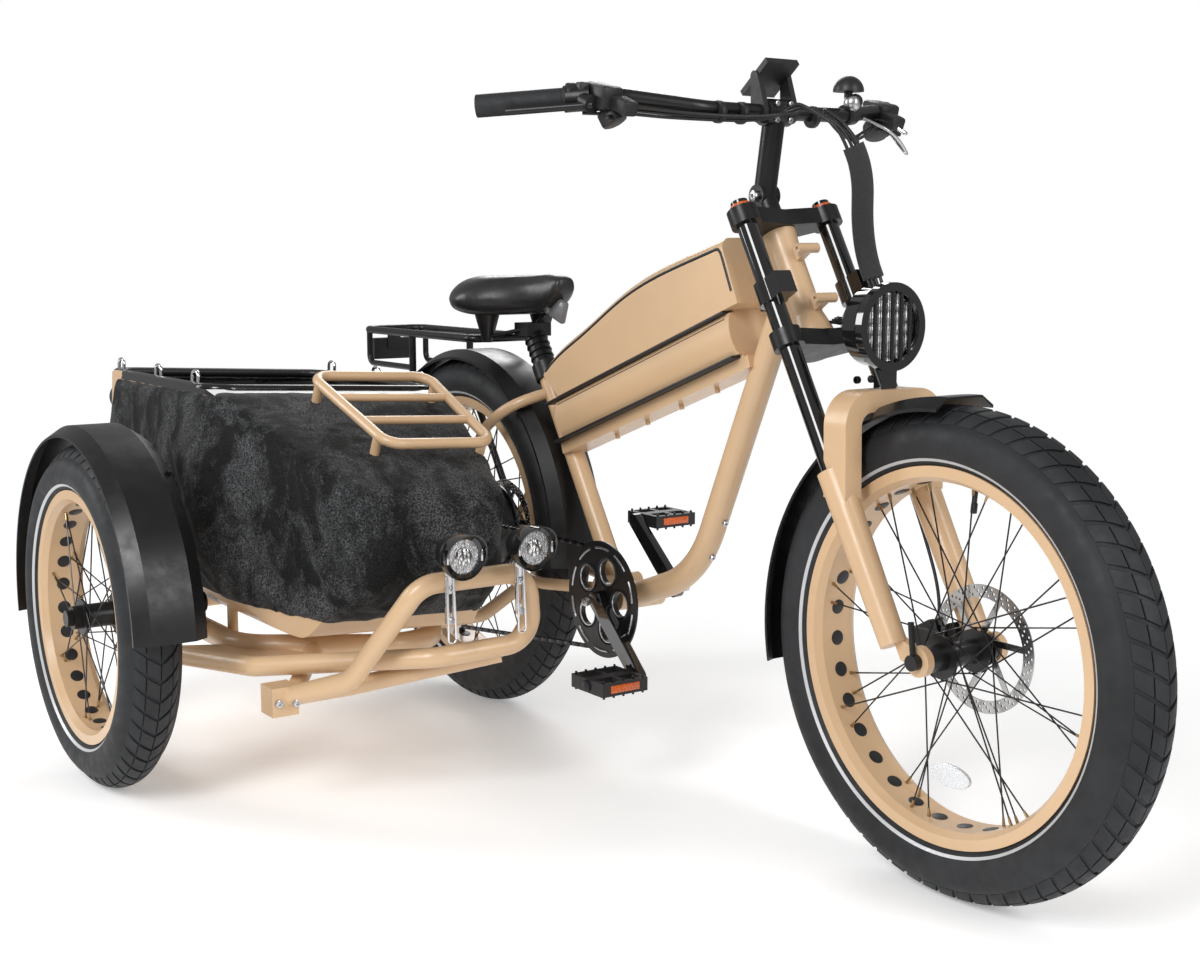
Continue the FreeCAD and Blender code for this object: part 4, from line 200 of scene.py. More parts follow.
class Finish:
    """A material under construction; what changes over the surface is fed to its shader."""

    def __init__(self, name, colour, constants):
        self.material = bpy.data.materials.new(name)
        self.material.use_nodes = True
        self.tree = self.material.node_tree
        self.shader = self.tree.nodes["Principled BSDF"]
        self.shader.inputs["Base Color"].default_value = (*colour, 1.0)
        for socket, value in constants.items():
            self.shader.inputs[socket].default_value = value

    def node(self, kind, settings, *inputs, output=0):
        """A node with its settings made first, then its inputs as values or links."""
        made = self.tree.nodes.new(kind)
        for key, value in settings.items():
            setattr(made, key, value)
        for index, value in enumerate(inputs):
            if isinstance(value, Signal):
                self.tree.links.new(value.socket, made.inputs[index])
            elif value is not None:
                made.inputs[index].default_value = value
        return Signal(self, made.outputs[output])

    def feed(self, socket, signal):
        """Link a signal to the shader."""
        self.tree.links.new(signal.socket, self.shader.inputs[socket])

    def place(self):
        """Object coordinates, in metres."""
        return self.node("ShaderNodeTexCoord", {}, output=3)

    def stretched(self, vector, scale):
        """Coordinates scaled along each axis."""
        return self.node("ShaderNodeMapping", {}, vector, None, None, scale)

    def grain(self, vector, scale, detail=4.0, roughness=0.6):
        """Fractal noise between 0 and 1."""
        return self.node("ShaderNodeTexNoise", {}, vector, None, scale, detail, roughness)

    def cells(self, vector, scale, feature="F1"):
        """The distance to the nearest of many scattered points."""
        return self.node("ShaderNodeTexVoronoi", {"feature": feature}, vector, None, scale)

    def part(self, vector, axis):
        """One coordinate of a vector."""
        return self.node("ShaderNodeSeparateXYZ", {}, vector, output=axis)

    def ranged(self, signal, low, high, start, end):
        """A signal mapped from one range to another and held within it."""
        return self.node("ShaderNodeMapRange", {}, signal, low, high, start, end)

    def blended(self, share, first, second):
        """A colour between two colours."""
        mix = self.tree.nodes.new("ShaderNodeMix")
        mix.data_type = "RGBA"
        self.tree.links.new(share.socket, mix.inputs["Factor"])
        for name, value in (("A", first), ("B", second)):
            socket = next(s for s in mix.inputs if s.name == name and s.type == "RGBA")
            if isinstance(value, Signal):
                self.tree.links.new(value.socket, socket)
            else:
                socket.default_value = (*value, 1.0)
        return Signal(self, next(s for s in mix.outputs if s.type == "RGBA"))

    def math(self, operation, *values):
        """A sum of numbers: COMPARE, MAXIMUM, MINIMUM, FRACT, ARCTAN2 and the like."""
        return self.node("ShaderNodeMath", {"operation": operation}, *values)

    def vector_math(self, operation, *values, output=0):
        """A sum of vectors; output 1 is a number."""
        return self.node("ShaderNodeVectorMath", {"operation": operation}, *values, output=output)

    def repeated(self, signal):
        """How far a signal is from the middle between two whole numbers, from 0 to one half."""
        return abs(self.math("FRACT", signal) - 0.5)

    def round_axle(self, axle):
        """Distance from an axle that runs sideways, share of a turn round it, and place along it."""
        offset = self.vector_math("SUBTRACT", self.place(), tuple(axle))
        ahead = self.part(offset, 0)
        height = self.part(offset, 2)
        out = (ahead * ahead + height * height) ** 0.5
        turn = self.math("ARCTAN2", ahead, height) / (2 * math.pi)
        return out, turn, self.part(offset, 1)

    def wander(self, scale, low, high, detail=3.0):
        """Let the roughness wander with a grain."""
        grain = self.grain(self.place(), scale, detail)
        self.feed("Roughness", self.ranged(grain, grain_low, grain_high, low, high))

    def spread(self, signal, low, high):
        """A signal mapped from a range to the range from 0 to 1."""
        return self.ranged(signal, low, high, 0.0, 1.0)

    def raised(self, height, strength, distance):
        """Feed a height to the shader's normal."""
        bump = self.tree.nodes.new("ShaderNodeBump")
        bump.inputs["Strength"].default_value = strength
        bump.inputs["Distance"].default_value = distance
        self.tree.links.new(height.socket, bump.inputs["Height"])
        self.tree.links.new(bump.outputs["Normal"], self.shader.inputs["Normal"])


grain_low, grain_high = 0.3, 0.7
satin = {"Roughness": 0.34, "Coat Weight": 0.25, "Coat Roughness": 0.22}


def shade(colour, factor):
    """A colour made lighter or darker."""
    return tuple(min(1.0, channel * factor) for channel in colour)


def drifting_sand(finish, colours, scale=4.0, detail=3.0, dark=0.95, light=1.05):
    """Sand colour whose tone drifts softly."""
    drift = finish.spread(finish.grain(finish.place(), scale, detail), grain_low, grain_high)
    return finish.blended(drift, shade(colours.sand, dark), shade(colours.sand, light))


def orange_peel(finish, scale=900.0, detail=2.0, strength=0.06, depth=0.0004):
    """The faint unevenness of sprayed paint."""
    finish.raised(finish.grain(finish.place(), scale, detail), strength, depth)


def sand_paint(colours):
    """Satin sand paint with a faint orange peel and soft colour drift."""
    finish = Finish("sand paint", colours.sand, satin)
    finish.feed("Base Color", drifting_sand(finish, colours))
    finish.wander(60.0, 0.28, 0.42)
    orange_peel(finish)
    return finish.material


def tyre_rubber(colours, dust_scale=9.0, dust_detail=5.0, dust_range=(0.35, 0.75), dark=0.7, light=1.5):
    """Matt tyre rubber with dust."""
    finish = Finish("tyre rubber", colours.rubber, {"Roughness": 0.58, "Specular IOR Level": 0.40})
    dust = finish.spread(finish.grain(finish.place(), dust_scale, dust_detail), *dust_range)
    finish.feed("Base Color", finish.blended(dust, shade(colours.rubber, dark), shade(colours.rubber, light)))
    finish.wander(45.0, 0.52, 0.72)
    orange_peel(finish, 420.0, 3.0, 0.12)
    return finish.material


# Each row: name, colour or paint with its factor, constants of the shader, the grain that feeds the roughness
# (scale, detail, low, high), and the relief that feeds the normal (kind, scale, detail, strength, depth).
plain_rows = {
    "black_paint": ("black paint", ("black", 0.7), {"Roughness": 0.30, "Specular IOR Level": 0.42},
                    (40.0, 3.0, 0.28, 0.42), ("grain", 1100.0, 2.0, 0.07, 0.0003)),
    "gloss_black": ("gloss black", ("black", 0.6),
                    {"Roughness": 0.07, "Coat Weight": 0.8, "Coat Roughness": 0.03},
                    (30.0, 2.0, 0.05, 0.10), None),
    "black_plastic": ("moulded plastic", ("black", 1.4), {"Roughness": 0.45},
                      (70.0, 3.0, 0.38, 0.52), ("F1", 900.0, 0.0, 0.10, 0.0003)),
    "grip_rubber": ("grip rubber", ("rubber", 0.9), {"Roughness": 0.7},
                    (80.0, 3.0, 0.6, 0.78), ("DISTANCE_TO_EDGE", 260.0, 0.0, 0.5, 0.0010)),
    "saddle_cover": ("saddle vinyl", ("black", 1.3),
                     {"Roughness": 0.36, "Coat Weight": 0.15, "Coat Roughness": 0.35},
                     (25.0, 4.0, 0.28, 0.46), ("DISTANCE_TO_EDGE", 420.0, 0.0, 0.12, 0.0005)),
    "chrome": ("chrome", (0.78, 0.78, 0.80), {"Metallic": 1.0, "Roughness": 0.08},
               (60.0, 3.0, 0.05, 0.14), None),
    "lamp_mirror": ("lamp mirror", (0.92, 0.93, 0.95), {"Metallic": 1.0, "Roughness": 0.16},
                    (90.0, 2.0, 0.10, 0.24), ("F1", 260.0, 0.0, 0.5, 0.0016)),
    "pale_line": ("pale line", (0.55, 0.56, 0.58), {"Roughness": 0.4, "Metallic": 0.3},
                  (220.0, 3.0, 0.3, 0.5), None),
}
# Each row: name, colour, constants, the prisms' roughness at bottom and top, their strength and depth.
prism_rows = {
    "clear_reflector": ("clear reflector", (0.80, 0.82, 0.84),
                        {"Roughness": 0.2, "Coat Weight": 0.7, "Metallic": 0.4},
                        0.12, 0.4, 0.6, 0.0012),
    "grey_reflector": ("grey reflector", (0.16, 0.16, 0.17), {"Roughness": 0.3, "Coat Weight": 0.4},
                       0.2, 0.45, 0.4, 0.0010),
}
metal_rows = {
    "steel": ("bright steel", (0.60, 0.60, 0.62), 0.28),
    "dark_steel": ("dark steel", (0.055, 0.055, 0.060), 0.36),
    "brass": ("brass", (0.42, 0.30, 0.16), 0.34),
}
prism_scale = 420.0
prism_top = 0.8


def row_colour(colours, entry):
    """A row's colour: its own three values, or a named paint made lighter or darker."""
    if isinstance(entry[0], str):
        return shade(getattr(colours, entry[0]), entry[1])
    return entry


def plain_finish(colours, name, entry, constants, rough, relief):
    """A finish whose roughness wanders and whose surface has one kind of relief."""
    finish = Finish(name, row_colour(colours, entry), constants)
    scale, detail, low, high = rough
    finish.wander(scale, low, high, detail)
    if relief:
        kind, scale, detail, strength, depth = relief
        place = finish.place()
        height = finish.grain(place, scale, detail) if kind == "grain" else finish.cells(place, scale, kind)
        finish.raised(height, strength, depth)
    return finish.material


def prism_finish(name, colour, constants, low, high, strength, depth):
    """A reflector's plastic with its prism cells."""
    finish = Finish(name, colour, constants)
    prisms = finish.cells(finish.place(), prism_scale)
    finish.feed("Roughness", finish.ranged(prisms, 0.0, prism_top, low, high))
    finish.raised(prisms, strength, depth)
    return finish.material


def brushed_metal(name, colour, roughness, drawn=(60.0, 900.0, 60.0), spread=0.25, relief=(0.05, 0.0002)):
    """Bare metal with a fine drawn grain."""
    finish = Finish(name, colour, {"Metallic": 1.0, "Roughness": roughness})
    lines = finish.grain(finish.stretched(finish.place(), drawn), 1.0, 3.0)
    rough = finish.ranged(lines, grain_low, grain_high, roughness * (1 - spread), roughness * (1 + spread))
    finish.feed("Roughness", rough)
    finish.raised(lines, *relief)
    return finish.material


def cover_cloth(colours):
    """Napped suede-like cloth, its colour mottled with painted sheen: pale patches and streaks are painted far
    lighter and the rest darker, as a nap lying one way or the other would catch or lose the light.
    """
    finish = Finish("cover cloth", colours.cloth, {"Roughness": 0.78, "Specular IOR Level": 0.22,
                                                   "Sheen Weight": 0.08, "Sheen Roughness": 0.35})
    bend_scale, bend_detail, bend_rough, bend_reach = 3.2, 3.0, 0.6, (0.24, 0.24, 0.42)
    patch_scale, patch_detail, patch_rough, patch_share = (6.0, 6.0, 4.2), 7.0, 0.68, 0.66
    streak_scale, streak_detail, streak_rough, streak_share = (22.0, 22.0, 14.0), 5.0, 0.7, 0.34
    speck_scale, speck_detail, speck_rough = 330.0, 3.0, 0.8
    place = finish.place()
    bend = finish.node("ShaderNodeTexNoise", {}, place, None, bend_scale, bend_detail, bend_rough, output=1)
    bent = finish.vector_math("ADD", place, finish.vector_math("MULTIPLY", bend, bend_reach))
    patches = finish.grain(finish.stretched(bent, patch_scale), 1.0, patch_detail, patch_rough)
    sheen_streaks = finish.grain(finish.stretched(bent, streak_scale), 1.0, streak_detail, streak_rough)
    specks = finish.grain(place, speck_scale, speck_detail, speck_rough)
    # Painted sheen: the pale mask from the patches and streaks marks where the cloth is painted lighter, as if it
    # caught the light.
    pale = finish.spread(patches * patch_share + sheen_streaks * streak_share, 0.455, 0.555)
    nap = finish.spread(specks, 0.44, 0.60)
    # The dark copy, a tenth to nine tenths of the cloth's colour, is painted shade; the light copy, up to seven
    # times it, is painted sheen.
    dark = finish.blended(nap, shade(colours.cloth, 0.10), shade(colours.cloth, 0.9))
    light = finish.blended(nap, shade(colours.cloth, 0.6), shade(colours.cloth, 7.0))
    finish.feed("Base Color", finish.blended(pale, dark, light))
    finish.feed("Roughness", finish.ranged(specks, grain_low, grain_high, 0.74, 0.92))
    finish.raised(specks + patches * 0.8, 0.5, 0.0014)
    return finish.material


def woven_sleeve(colours, pattern=(1.0, 1.0, 0.6), scale=620.0):
    """Tight black weave of the cable sleeve."""
    finish = Finish("woven sleeve", shade(colours.black, 1.8), {"Roughness": 0.75, "Sheen Weight": 0.3})
    weave = finish.cells(finish.stretched(finish.place(), pattern), scale)
    finish.feed("Roughness", finish.ranged(weave, 0.0, prism_top, 0.68, 0.85))
    finish.raised(weave, 0.5, 0.0008)
    return finish.material


def orange_reflector(colours, dark=0.45, light=1.25):
    """Orange reflector plastic with its prism cells, each cell painted lighter at its middle and darker at its
    edges as painted glints and shade.
    """
    finish = Finish("orange reflector", colours.orange, {"Roughness": 0.25, "Coat Weight": 0.6})
    prisms = finish.cells(finish.place(), prism_scale)
    # Painted glints and shade: a lit copy of the orange near each cell's middle, a shaded copy towards its edges.
    tone = finish.blended(prisms, shade(colours.orange, light), shade(colours.orange, dark))
    finish.feed("Base Color", tone)
    finish.raised(prisms, 0.5, 0.0012)
    return finish.material


disc_sides = {"front": 0.050, "rear": 0.059}
disc_half_thickness = 0.0016
disc_hole_radius = 0.0020
disc_holes_round = 36
disc_inner_radius = 0.0245
disc_steel = (0.50, 0.50, 0.50)
# Radius of each row of holes, and how far it is turned against the first, as a share of the step.
disc_rows = ((0.0762, 0.0), (0.0812, 0.33), (0.0860, 0.66))


def drilled_disc(colours, axle, disc_side):
    """A black hub whose brake disc is bare steel with rows of small holes."""
    finish = Finish("hub with disc", colours.black, {"Roughness": 0.3})
    out, turn, side = finish.round_axle(axle)
    on_disc = finish.math("COMPARE", side, disc_side, disc_half_thickness) * (out > disc_inner_radius)
    holes = None
    for row, shift in disc_rows:
        steps = turn * disc_holes_round + (shift + disc_holes_round / 2)
        along = (finish.math("FRACT", steps) - 0.5) * (2 * math.pi * row / disc_holes_round)
        away = out - row
        hole = (along * along + away * away) < disc_hole_radius ** 2
        holes = hole if holes is None else finish.math("MAXIMUM", holes, hole)
    finish.feed("Base Color", finish.blended(on_disc, colours.black, disc_steel))
    finish.feed("Metallic", on_disc)
    finish.feed("Roughness", finish.ranged(on_disc, 0.0, 1.0, 0.30, 0.24))
    finish.feed("Alpha", 1.0 - holes * on_disc)
    return finish.material


tub_roll = math.radians(3.0)
tub_depth = 0.380
tub_floor_height = 0.262
tub_half_width = 0.224
tub_lean = 0.045
tub_knee = 0.123
tub_middle_out = 0.416
tub_wall = 0.002
tub_floor = 0.0025
rim_depth = 0.0095
rim_start = 0.115
rim_wander = 0.06


def tub_paint(colours):
    """Sand paint outside, the inside painted near black, and a glossy dark bead along the rolled rim."""
    finish = Finish("tub paint", colours.sand, satin)
    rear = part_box("tub")[0].x
    floor_middle = (0, rear_axle.y - tub_middle_out, tub_floor_height)
    offset = finish.vector_math("SUBTRACT", finish.place(), floor_middle)
    level = (0, math.sin(tub_roll), math.cos(tub_roll))
    width_way = (0, math.cos(tub_roll), -math.sin(tub_roll))
    above = finish.vector_math("DOT_PRODUCT", offset, level, output=1)
    aside = finish.vector_math("DOT_PRODUCT", offset, width_way, output=1)
    ahead = finish.part(offset, 0)
    rim_end = ahead + finish.grain(finish.place(), 22.0, 3.0) * rim_wander
    on_rim = (above > tub_depth - rim_depth) * (rim_end > rear + rim_start)
    leaning = above * (tub_lean / tub_knee) + (tub_half_width - tub_lean)
    wall = finish.math("MINIMUM", leaning, tub_half_width)
    inside = (abs(aside) < wall - tub_wall) * (above > tub_floor)
    inside = inside * (ahead < cockpit_front()) * (ahead > rear + tub_floor)
    # The inside of the tub, within its walls and behind the deck, is painted near black.
    dark_inside = finish.blended(inside, drifting_sand(finish, colours), shade(colours.black, 1.2))
    finish.feed("Base Color", finish.blended(on_rim, dark_inside, shade(colours.black, 0.7)))
    finish.feed("Roughness", finish.ranged(on_rim - inside, -1.0, 1.0, 0.52, 0.16))
    orange_peel(finish)
    return finish.material


def ribbed_lens(cell_scale=340.0, patch_scale=120.0, cell_share=0.6):
    """Clear ribbed lamp face whose colour is a painted reflection of its mirror, bright and dark by cells and
    patches as if the mirror lay just behind it.
    """
    finish = Finish("ribbed lens", (0.62, 0.63, 0.65),
                    {"Metallic": 0.75, "Roughness": 0.18, "Coat Weight": 1.0, "Coat Roughness": 0.03})
    place = finish.place()
    prisms = finish.cells(place, cell_scale)
    # Painted reflection: cells and patches set the lens colour between near white and dark grey.
    tone = finish.spread(prisms * cell_share + finish.grain(place, patch_scale, 3.0), 0.45, 1.0)
    finish.feed("Base Color", finish.blended(tone, (0.95, 0.96, 0.98), (0.30, 0.31, 0.33)))
    finish.feed("Roughness", finish.ranged(prisms, 0.0, prism_top, 0.10, 0.36))
    finish.raised(prisms, 0.6, 0.0012)
    return finish.material


def lamp_facets(stretch=(1.0, 1.0, 0.45), scale=230.0):
    """The brilliant facets at the middle of a lamp, with painted glints: each facet's colour runs from white at
    its middle to near black at its edge.
    """
    finish = Finish("lamp facets", (0.95, 0.96, 0.98),
                    {"Metallic": 0.9, "Roughness": 0.08, "Coat Weight": 1.0, "Coat Roughness": 0.02})
    facets = finish.cells(finish.stretched(finish.place(), stretch), scale)
    # Painted glints: white near each facet's middle, dark towards its edges.
    tone = finish.spread(facets, 0.30, 0.62)
    finish.feed("Base Color", finish.blended(tone, (1.0, 1.0, 1.0), (0.16, 0.16, 0.17)))
    finish.raised(facets, 1.0, 0.0024)
    return finish.material


flutes_per_metre = 230.0
flute_shift = 40.0
rows_per_metre = 62.0
bowl_reflection_stretch = (1.0, 60.0, 160.0)


def fluted_glass():
    """The fluted glass of the headlight, with a painted reflection: bright and dark patches of its bowl and light
    and dark stripes along its flutes are painted into its colour.
    """
    finish = Finish("fluted glass", (0.85, 0.86, 0.88),
                    {"Metallic": 0.8, "Roughness": 0.14, "Coat Weight": 1.0, "Coat Roughness": 0.02})
    place = finish.place()
    flutes = finish.repeated(finish.part(place, 1) * flutes_per_metre + flute_shift)
    rows = finish.repeated(finish.part(place, 2) * rows_per_metre)
    patches = finish.grain(finish.stretched(place, bowl_reflection_stretch), 1.0, 3.0, 0.7)
    # Painted reflection: the glass's colour runs from near black to white with the bowl's patches and the flutes'
    # stripes.
    tone = finish.spread(patches + rows * 0.35 - flutes * 0.25, 0.30, 0.58)
    finish.feed("Base Color", finish.blended(tone, (0.09, 0.09, 0.10), (1.0, 1.0, 1.0)))
    finish.feed("Roughness", finish.ranged(flutes, 0.0, 0.5, 0.10, 0.30))
    finish.raised(flutes + rows * 0.6, 0.8, 0.0016)
    return finish.material


def floor_fade(near=1.7, far=3.4):
    """White paper that ends in nothing well outside the shadows."""
    finish = Finish("floor paper", (0.93, 0.93, 0.93), {"Roughness": 0.9, "Specular IOR Level": 0.0,
                                                        "Emission Color": (1.0, 1.0, 1.0, 1.0),
                                                        "Emission Strength": 0.24})
    distance = finish.vector_math("LENGTH", finish.place(), output=1)
    finish.feed("Alpha", finish.ranged(distance, near, far, 1.0, 0.0))
    return finish.material


shelf = {}


def mix_finishes(colours):
    """Make every finish once."""
    shelf.update({key: plain_finish(colours, *row) for key, row in plain_rows.items()})
    shelf.update({key: prism_finish(*row) for key, row in prism_rows.items()})
    shelf.update({key: brushed_metal(*row) for key, row in metal_rows.items()})
    shelf.update({
        "sand_paint": sand_paint(colours),
        "tyre": tyre_rubber(colours),
        "cover_fabric": cover_cloth(colours),
        "cable_fabric": woven_sleeve(colours),
        "orange": orange_reflector(colours),
        "front_disc_hub": drilled_disc(colours, front_axle, disc_sides["front"]),
        "rear_disc_hub": drilled_disc(colours, rear_axle, disc_sides["rear"]),
        "tub_paint": tub_paint(colours),
        "ribbed_lens": ribbed_lens(),
        "lamp_facets": lamp_facets(),
        "fluted_glass": fluted_glass(),
    })


def alone(*pieces):
    """Select only these pieces; the first is the active one."""
    bpy.ops.object.select_all(action="DESELECT")
    for piece in pieces:
        piece.select_set(True)
    bpy.context.view_layer.objects.active = pieces[0]
    return pieces[0]


def fresh(name):
    """The primitive just added, named and with its place put into its mesh."""
    piece = bpy.context.active_object
    piece.name = name
    piece.data.name = name
    bpy.ops.object.transform_apply(location=True, rotation=True, scale=True)
    return piece


def modified(piece, kind, **settings):
    """Add one modifier, set it and apply it."""
    alone(piece)
    modifier = piece.modifiers.new(kind.lower(), kind)
    for key, value in settings.items():
        setattr(modifier, key, value)
    bpy.ops.object.modifier_apply(modifier=modifier.name)
    return piece


def softened(piece, width, segments=2, angle=35.0):
    """Bevel the sharp edges and shade by angle."""
    modified(piece, "BEVEL", width=width, segments=segments, limit_method="ANGLE",
             angle_limit=math.radians(angle))
    return smooth(piece)


def smooth(piece, angle=40.0):
    """Smooth shading with sharp edges kept."""
    alone(piece)
    bpy.ops.object.shade_smooth_by_angle(angle=math.radians(angle))
    return piece


def upright_to(way):
    """The rotation that turns +Z to a direction."""
    return way.to_track_quat("Z", "Y").to_matrix().to_4x4()


def rod(name, start, end, radius, sides=24, edge=0.0, tip=None):
    """A round bar between two points, tapered if a tip radius is given."""
    bpy.ops.object.select_all(action="DESELECT")
    way = end - start
    turn = way.to_track_quat("Z", "Y").to_euler()
    bpy.ops.mesh.primitive_cone_add(vertices=sides, radius1=radius, radius2=radius if tip is None else tip,
                                    depth=way.length, location=(start + end) / 2, rotation=turn)
    piece = fresh(name)
    return softened(piece, edge) if edge else smooth(piece)


def slab(name, centre, size, way=up_way, edge=0.0, roll=0.0):
    """A block about its centre, its third size along a direction."""
    bpy.ops.object.select_all(action="DESELECT")
    bpy.ops.mesh.primitive_cube_add(size=1.0, location=(0, 0, 0))
    piece = fresh(name)
    piece.data.transform(Matrix.Diagonal((*size, 1.0)))
    turn = upright_to(way) @ Matrix.Rotation(roll, 4, "Z")
    piece.data.transform(Matrix.Translation(centre) @ turn)
    return softened(piece, edge) if edge else piece


def lathe(name, profile, centre, way, steps):
    """A closed outline of (along, out) points spun about an axis through its centre."""
    bpy.ops.object.select_all(action="DESELECT")
    bpy.ops.mesh.primitive_circle_add(vertices=len(profile), radius=1.0, fill_type="NOTHING")
    piece = fresh(name)
    out = way.orthogonal().normalized()
    for vertex, (along, away) in zip(piece.data.vertices, profile):
        vertex.co = centre + way * along + out * away
    bpy.ops.object.mode_set(mode="EDIT")
    bpy.ops.mesh.select_all(action="SELECT")
    bpy.ops.mesh.spin(steps=steps, angle=2 * math.pi, center=centre, axis=way)
    bpy.ops.mesh.select_all(action="SELECT")
    bpy.ops.mesh.remove_doubles(threshold=1.0e-6)
    bpy.ops.mesh.normals_make_consistent(inside=False)
    bpy.ops.object.mode_set(mode="OBJECT")
    return smooth(piece)


def hose(name, points, radius, sides=3, steps=2):
    """A smooth round line through the room of some points, as a mesh."""
    curve = bpy.data.curves.new(name, "CURVE")
    curve.dimensions = "3D"
    curve.bevel_depth = radius
    curve.bevel_resolution = sides
    curve.resolution_u = steps
    curve.use_fill_caps = True
    spline = curve.splines.new("NURBS")
    spline.points.add(len(points) - 1)
    for spot, point in zip(spline.points, points):
        spot.co = (*point, 1.0)
    spline.order_u = 3
    spline.use_endpoint_u = True
    piece = bpy.data.objects.new(name, curve)
    bpy.context.scene.collection.objects.link(piece)
    alone(piece)
    bpy.ops.object.convert(target="MESH")
    piece = bpy.context.active_object
    piece.data.name = name
    return smooth(piece)


def copies(piece, name, moves):
    """The piece copied once for each move and joined into one."""
    made = []
    for index, move in enumerate(moves):
        copy = piece.copy()
        copy.data = piece.data.copy()
        copy.data.transform(move)
        copy.name = name + "_" + str(index)
        bpy.context.scene.collection.objects.link(copy)
        made.append(copy)
    bpy.data.objects.remove(piece)
    return union(name, made)


def union(name, pieces):
    """Join pieces into one object."""
    alone(*pieces)
    if len(pieces) > 1:
        bpy.ops.object.join()
    piece = bpy.context.active_object
    piece.name = name
    piece.data.name = name
    return piece


def about(centre, way, angle):
    """A turn about an axis through a centre."""
    return Matrix.Translation(centre) @ Matrix.Rotation(angle, 4, way) @ Matrix.Translation(-centre)


def ring_of(piece, name, centre, way, count, start=0.0):
    """The piece repeated evenly round an axis."""
    angles = [start + 2 * math.pi * index / count for index in range(count)]
    return copies(piece, name, [about(centre, way, angle) for angle in angles])


def dressed(piece, body, slot, finish=None, stands_for=()):
    """Give a finished piece its finish, the slot's own unless another is named, and its body."""
    piece.data.materials.clear()
    piece.data.materials.append(shelf[finish or slot])
    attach(piece, body)
    if stands_for:
        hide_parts(*stands_for)
    return piece


bolt_sides = 24
bolt_edge_share = 0.22
bolt_foot_share = 0.4
bolt_height_share = 0.85
socket_sides = 6
socket_radius_share = 0.5
socket_foot_share = 0.45
socket_top_share = 1.6


def bolt(name, head, way, radius, height):
    """A button-head bolt with its hexagon socket, its head seated at a point."""
    foot = head - way * height * bolt_foot_share
    body = rod(name, foot, head + way * height, radius, bolt_sides, radius * bolt_edge_share)
    socket = rod(name + "_socket", head + way * height * socket_foot_share,
                 head + way * height * socket_top_share, radius * socket_radius_share, socket_sides)
    alone(body)
    cut = body.modifiers.new("socket", "BOOLEAN")
    cut.object = socket
    cut.operation = "DIFFERENCE"
    cut.solver = "EXACT"
    bpy.ops.object.modifier_apply(modifier=cut.name)
    bpy.data.objects.remove(socket)
    return smooth(body)


def bolts(name, body, spots, slot, radius, finish=None):
    """Like bolts on one body: each spot is (place, direction)."""
    model = bolt(name, Vector(), up_way, radius, radius * bolt_height_share)
    moves = [Matrix.Translation(place) @ upright_to(way) for place, way in spots]
    return dressed(copies(model, name, moves), body, slot, finish)


def cad_copy(node, name):
    """A merged copy of a CAD node's mesh, to be shaped further."""
    source = frame["nodes"][node]
    piece = bpy.data.objects.new(name, source.data.copy())
    bpy.context.scene.collection.objects.link(piece)
    piece.data.name = name
    alone(piece)
    bpy.ops.object.mode_set(mode="EDIT")
    bpy.ops.mesh.select_all(action="SELECT")
    bpy.ops.mesh.remove_doubles(threshold=1.0e-5)
    bpy.ops.mesh.normals_make_consistent(inside=False)
    bpy.ops.object.mode_set(mode="OBJECT")
    return piece


def rim_edge_of(node):
    """Half of a rim's width and its edge radius, from the node's box."""
    low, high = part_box(node)
    return (high.y - low.y) / 2, (high.z - low.z) / 2


shoulder_share = 0.72
shoulder_drop = 0.020
bead_inset = 0.0033
bead_lift = 0.0003
bead_foot = 0.0083
lowered_band = 0.026
lowered_slope = 3.0
side_points = 9
crown_points = 13
full_tyre_radius = 0.340
tyre_steps = 144


def carcass_profile(radius, half_width, rim_half, rim_edge, drop):
    """Points of half a tyre's section, from the bead out to the middle of the crown."""
    shoulder = (half_width * shoulder_share, radius - shoulder_drop)
    belly = (half_width, (radius + rim_edge) / 2)
    bead = (rim_half - bead_inset, rim_edge + bead_lift)
    side = arc_points(bead, belly, shoulder, side_points)
    crown = arc_points(shoulder, (0.0, radius), (-shoulder[0], shoulder[1]), crown_points)
    lowered = []
    for across, out in side + crown[1:crown_points // 2 + 1]:
        share = max(0.0, (out - (radius - lowered_band)) / lowered_band)
        lowered.append((across, out - drop * min(1.0, share * lowered_slope)))
    return [(bead[0], bead[1] - bead_foot)] + lowered


def arc_points(first, through, last, count):
    """Points on the circle through three points, from the first to the last."""
    centre = circle_centre(first, through, last)
    radius = math.dist(centre, first)
    start = math.atan2(first[1] - centre[1], first[0] - centre[0])
    middle = math.atan2(through[1] - centre[1], through[0] - centre[0])
    end = math.atan2(last[1] - centre[1], last[0] - centre[0])
    turn = 2 * math.pi
    if (middle - start) % turn < (end - start) % turn:
        sweep = (end - start) % turn
    else:
        sweep = (end - start) % turn - turn
    angles = [start + sweep * index / (count - 1) for index in range(count)]
    return [(centre[0] + radius * math.cos(angle), centre[1] + radius * math.sin(angle)) for angle in angles]


def circle_centre(first, second, third):
    """The centre of the circle through three points of a plane."""
    ax, ay = first
    bx, by = second
    cx, cy = third
    double = 2 * (ax * (by - cy) + bx * (cy - ay) + cx * (ay - by))
    a, b, c = ax * ax + ay * ay, bx * bx + by * by, cx * cx + cy * cy
    return ((a * (by - cy) + b * (cy - ay) + c * (ay - by)) / double,
            (a * (cx - bx) + b * (ax - cx) + c * (bx - ax)) / double)


# Where the two blocks of a tread bar begin and end, from the middle of the crown outward.
tread_rows = ((0.0007, 0.0215), (0.0230, 0.0465))
block_length_share = 0.80
block_edge = 0.0006


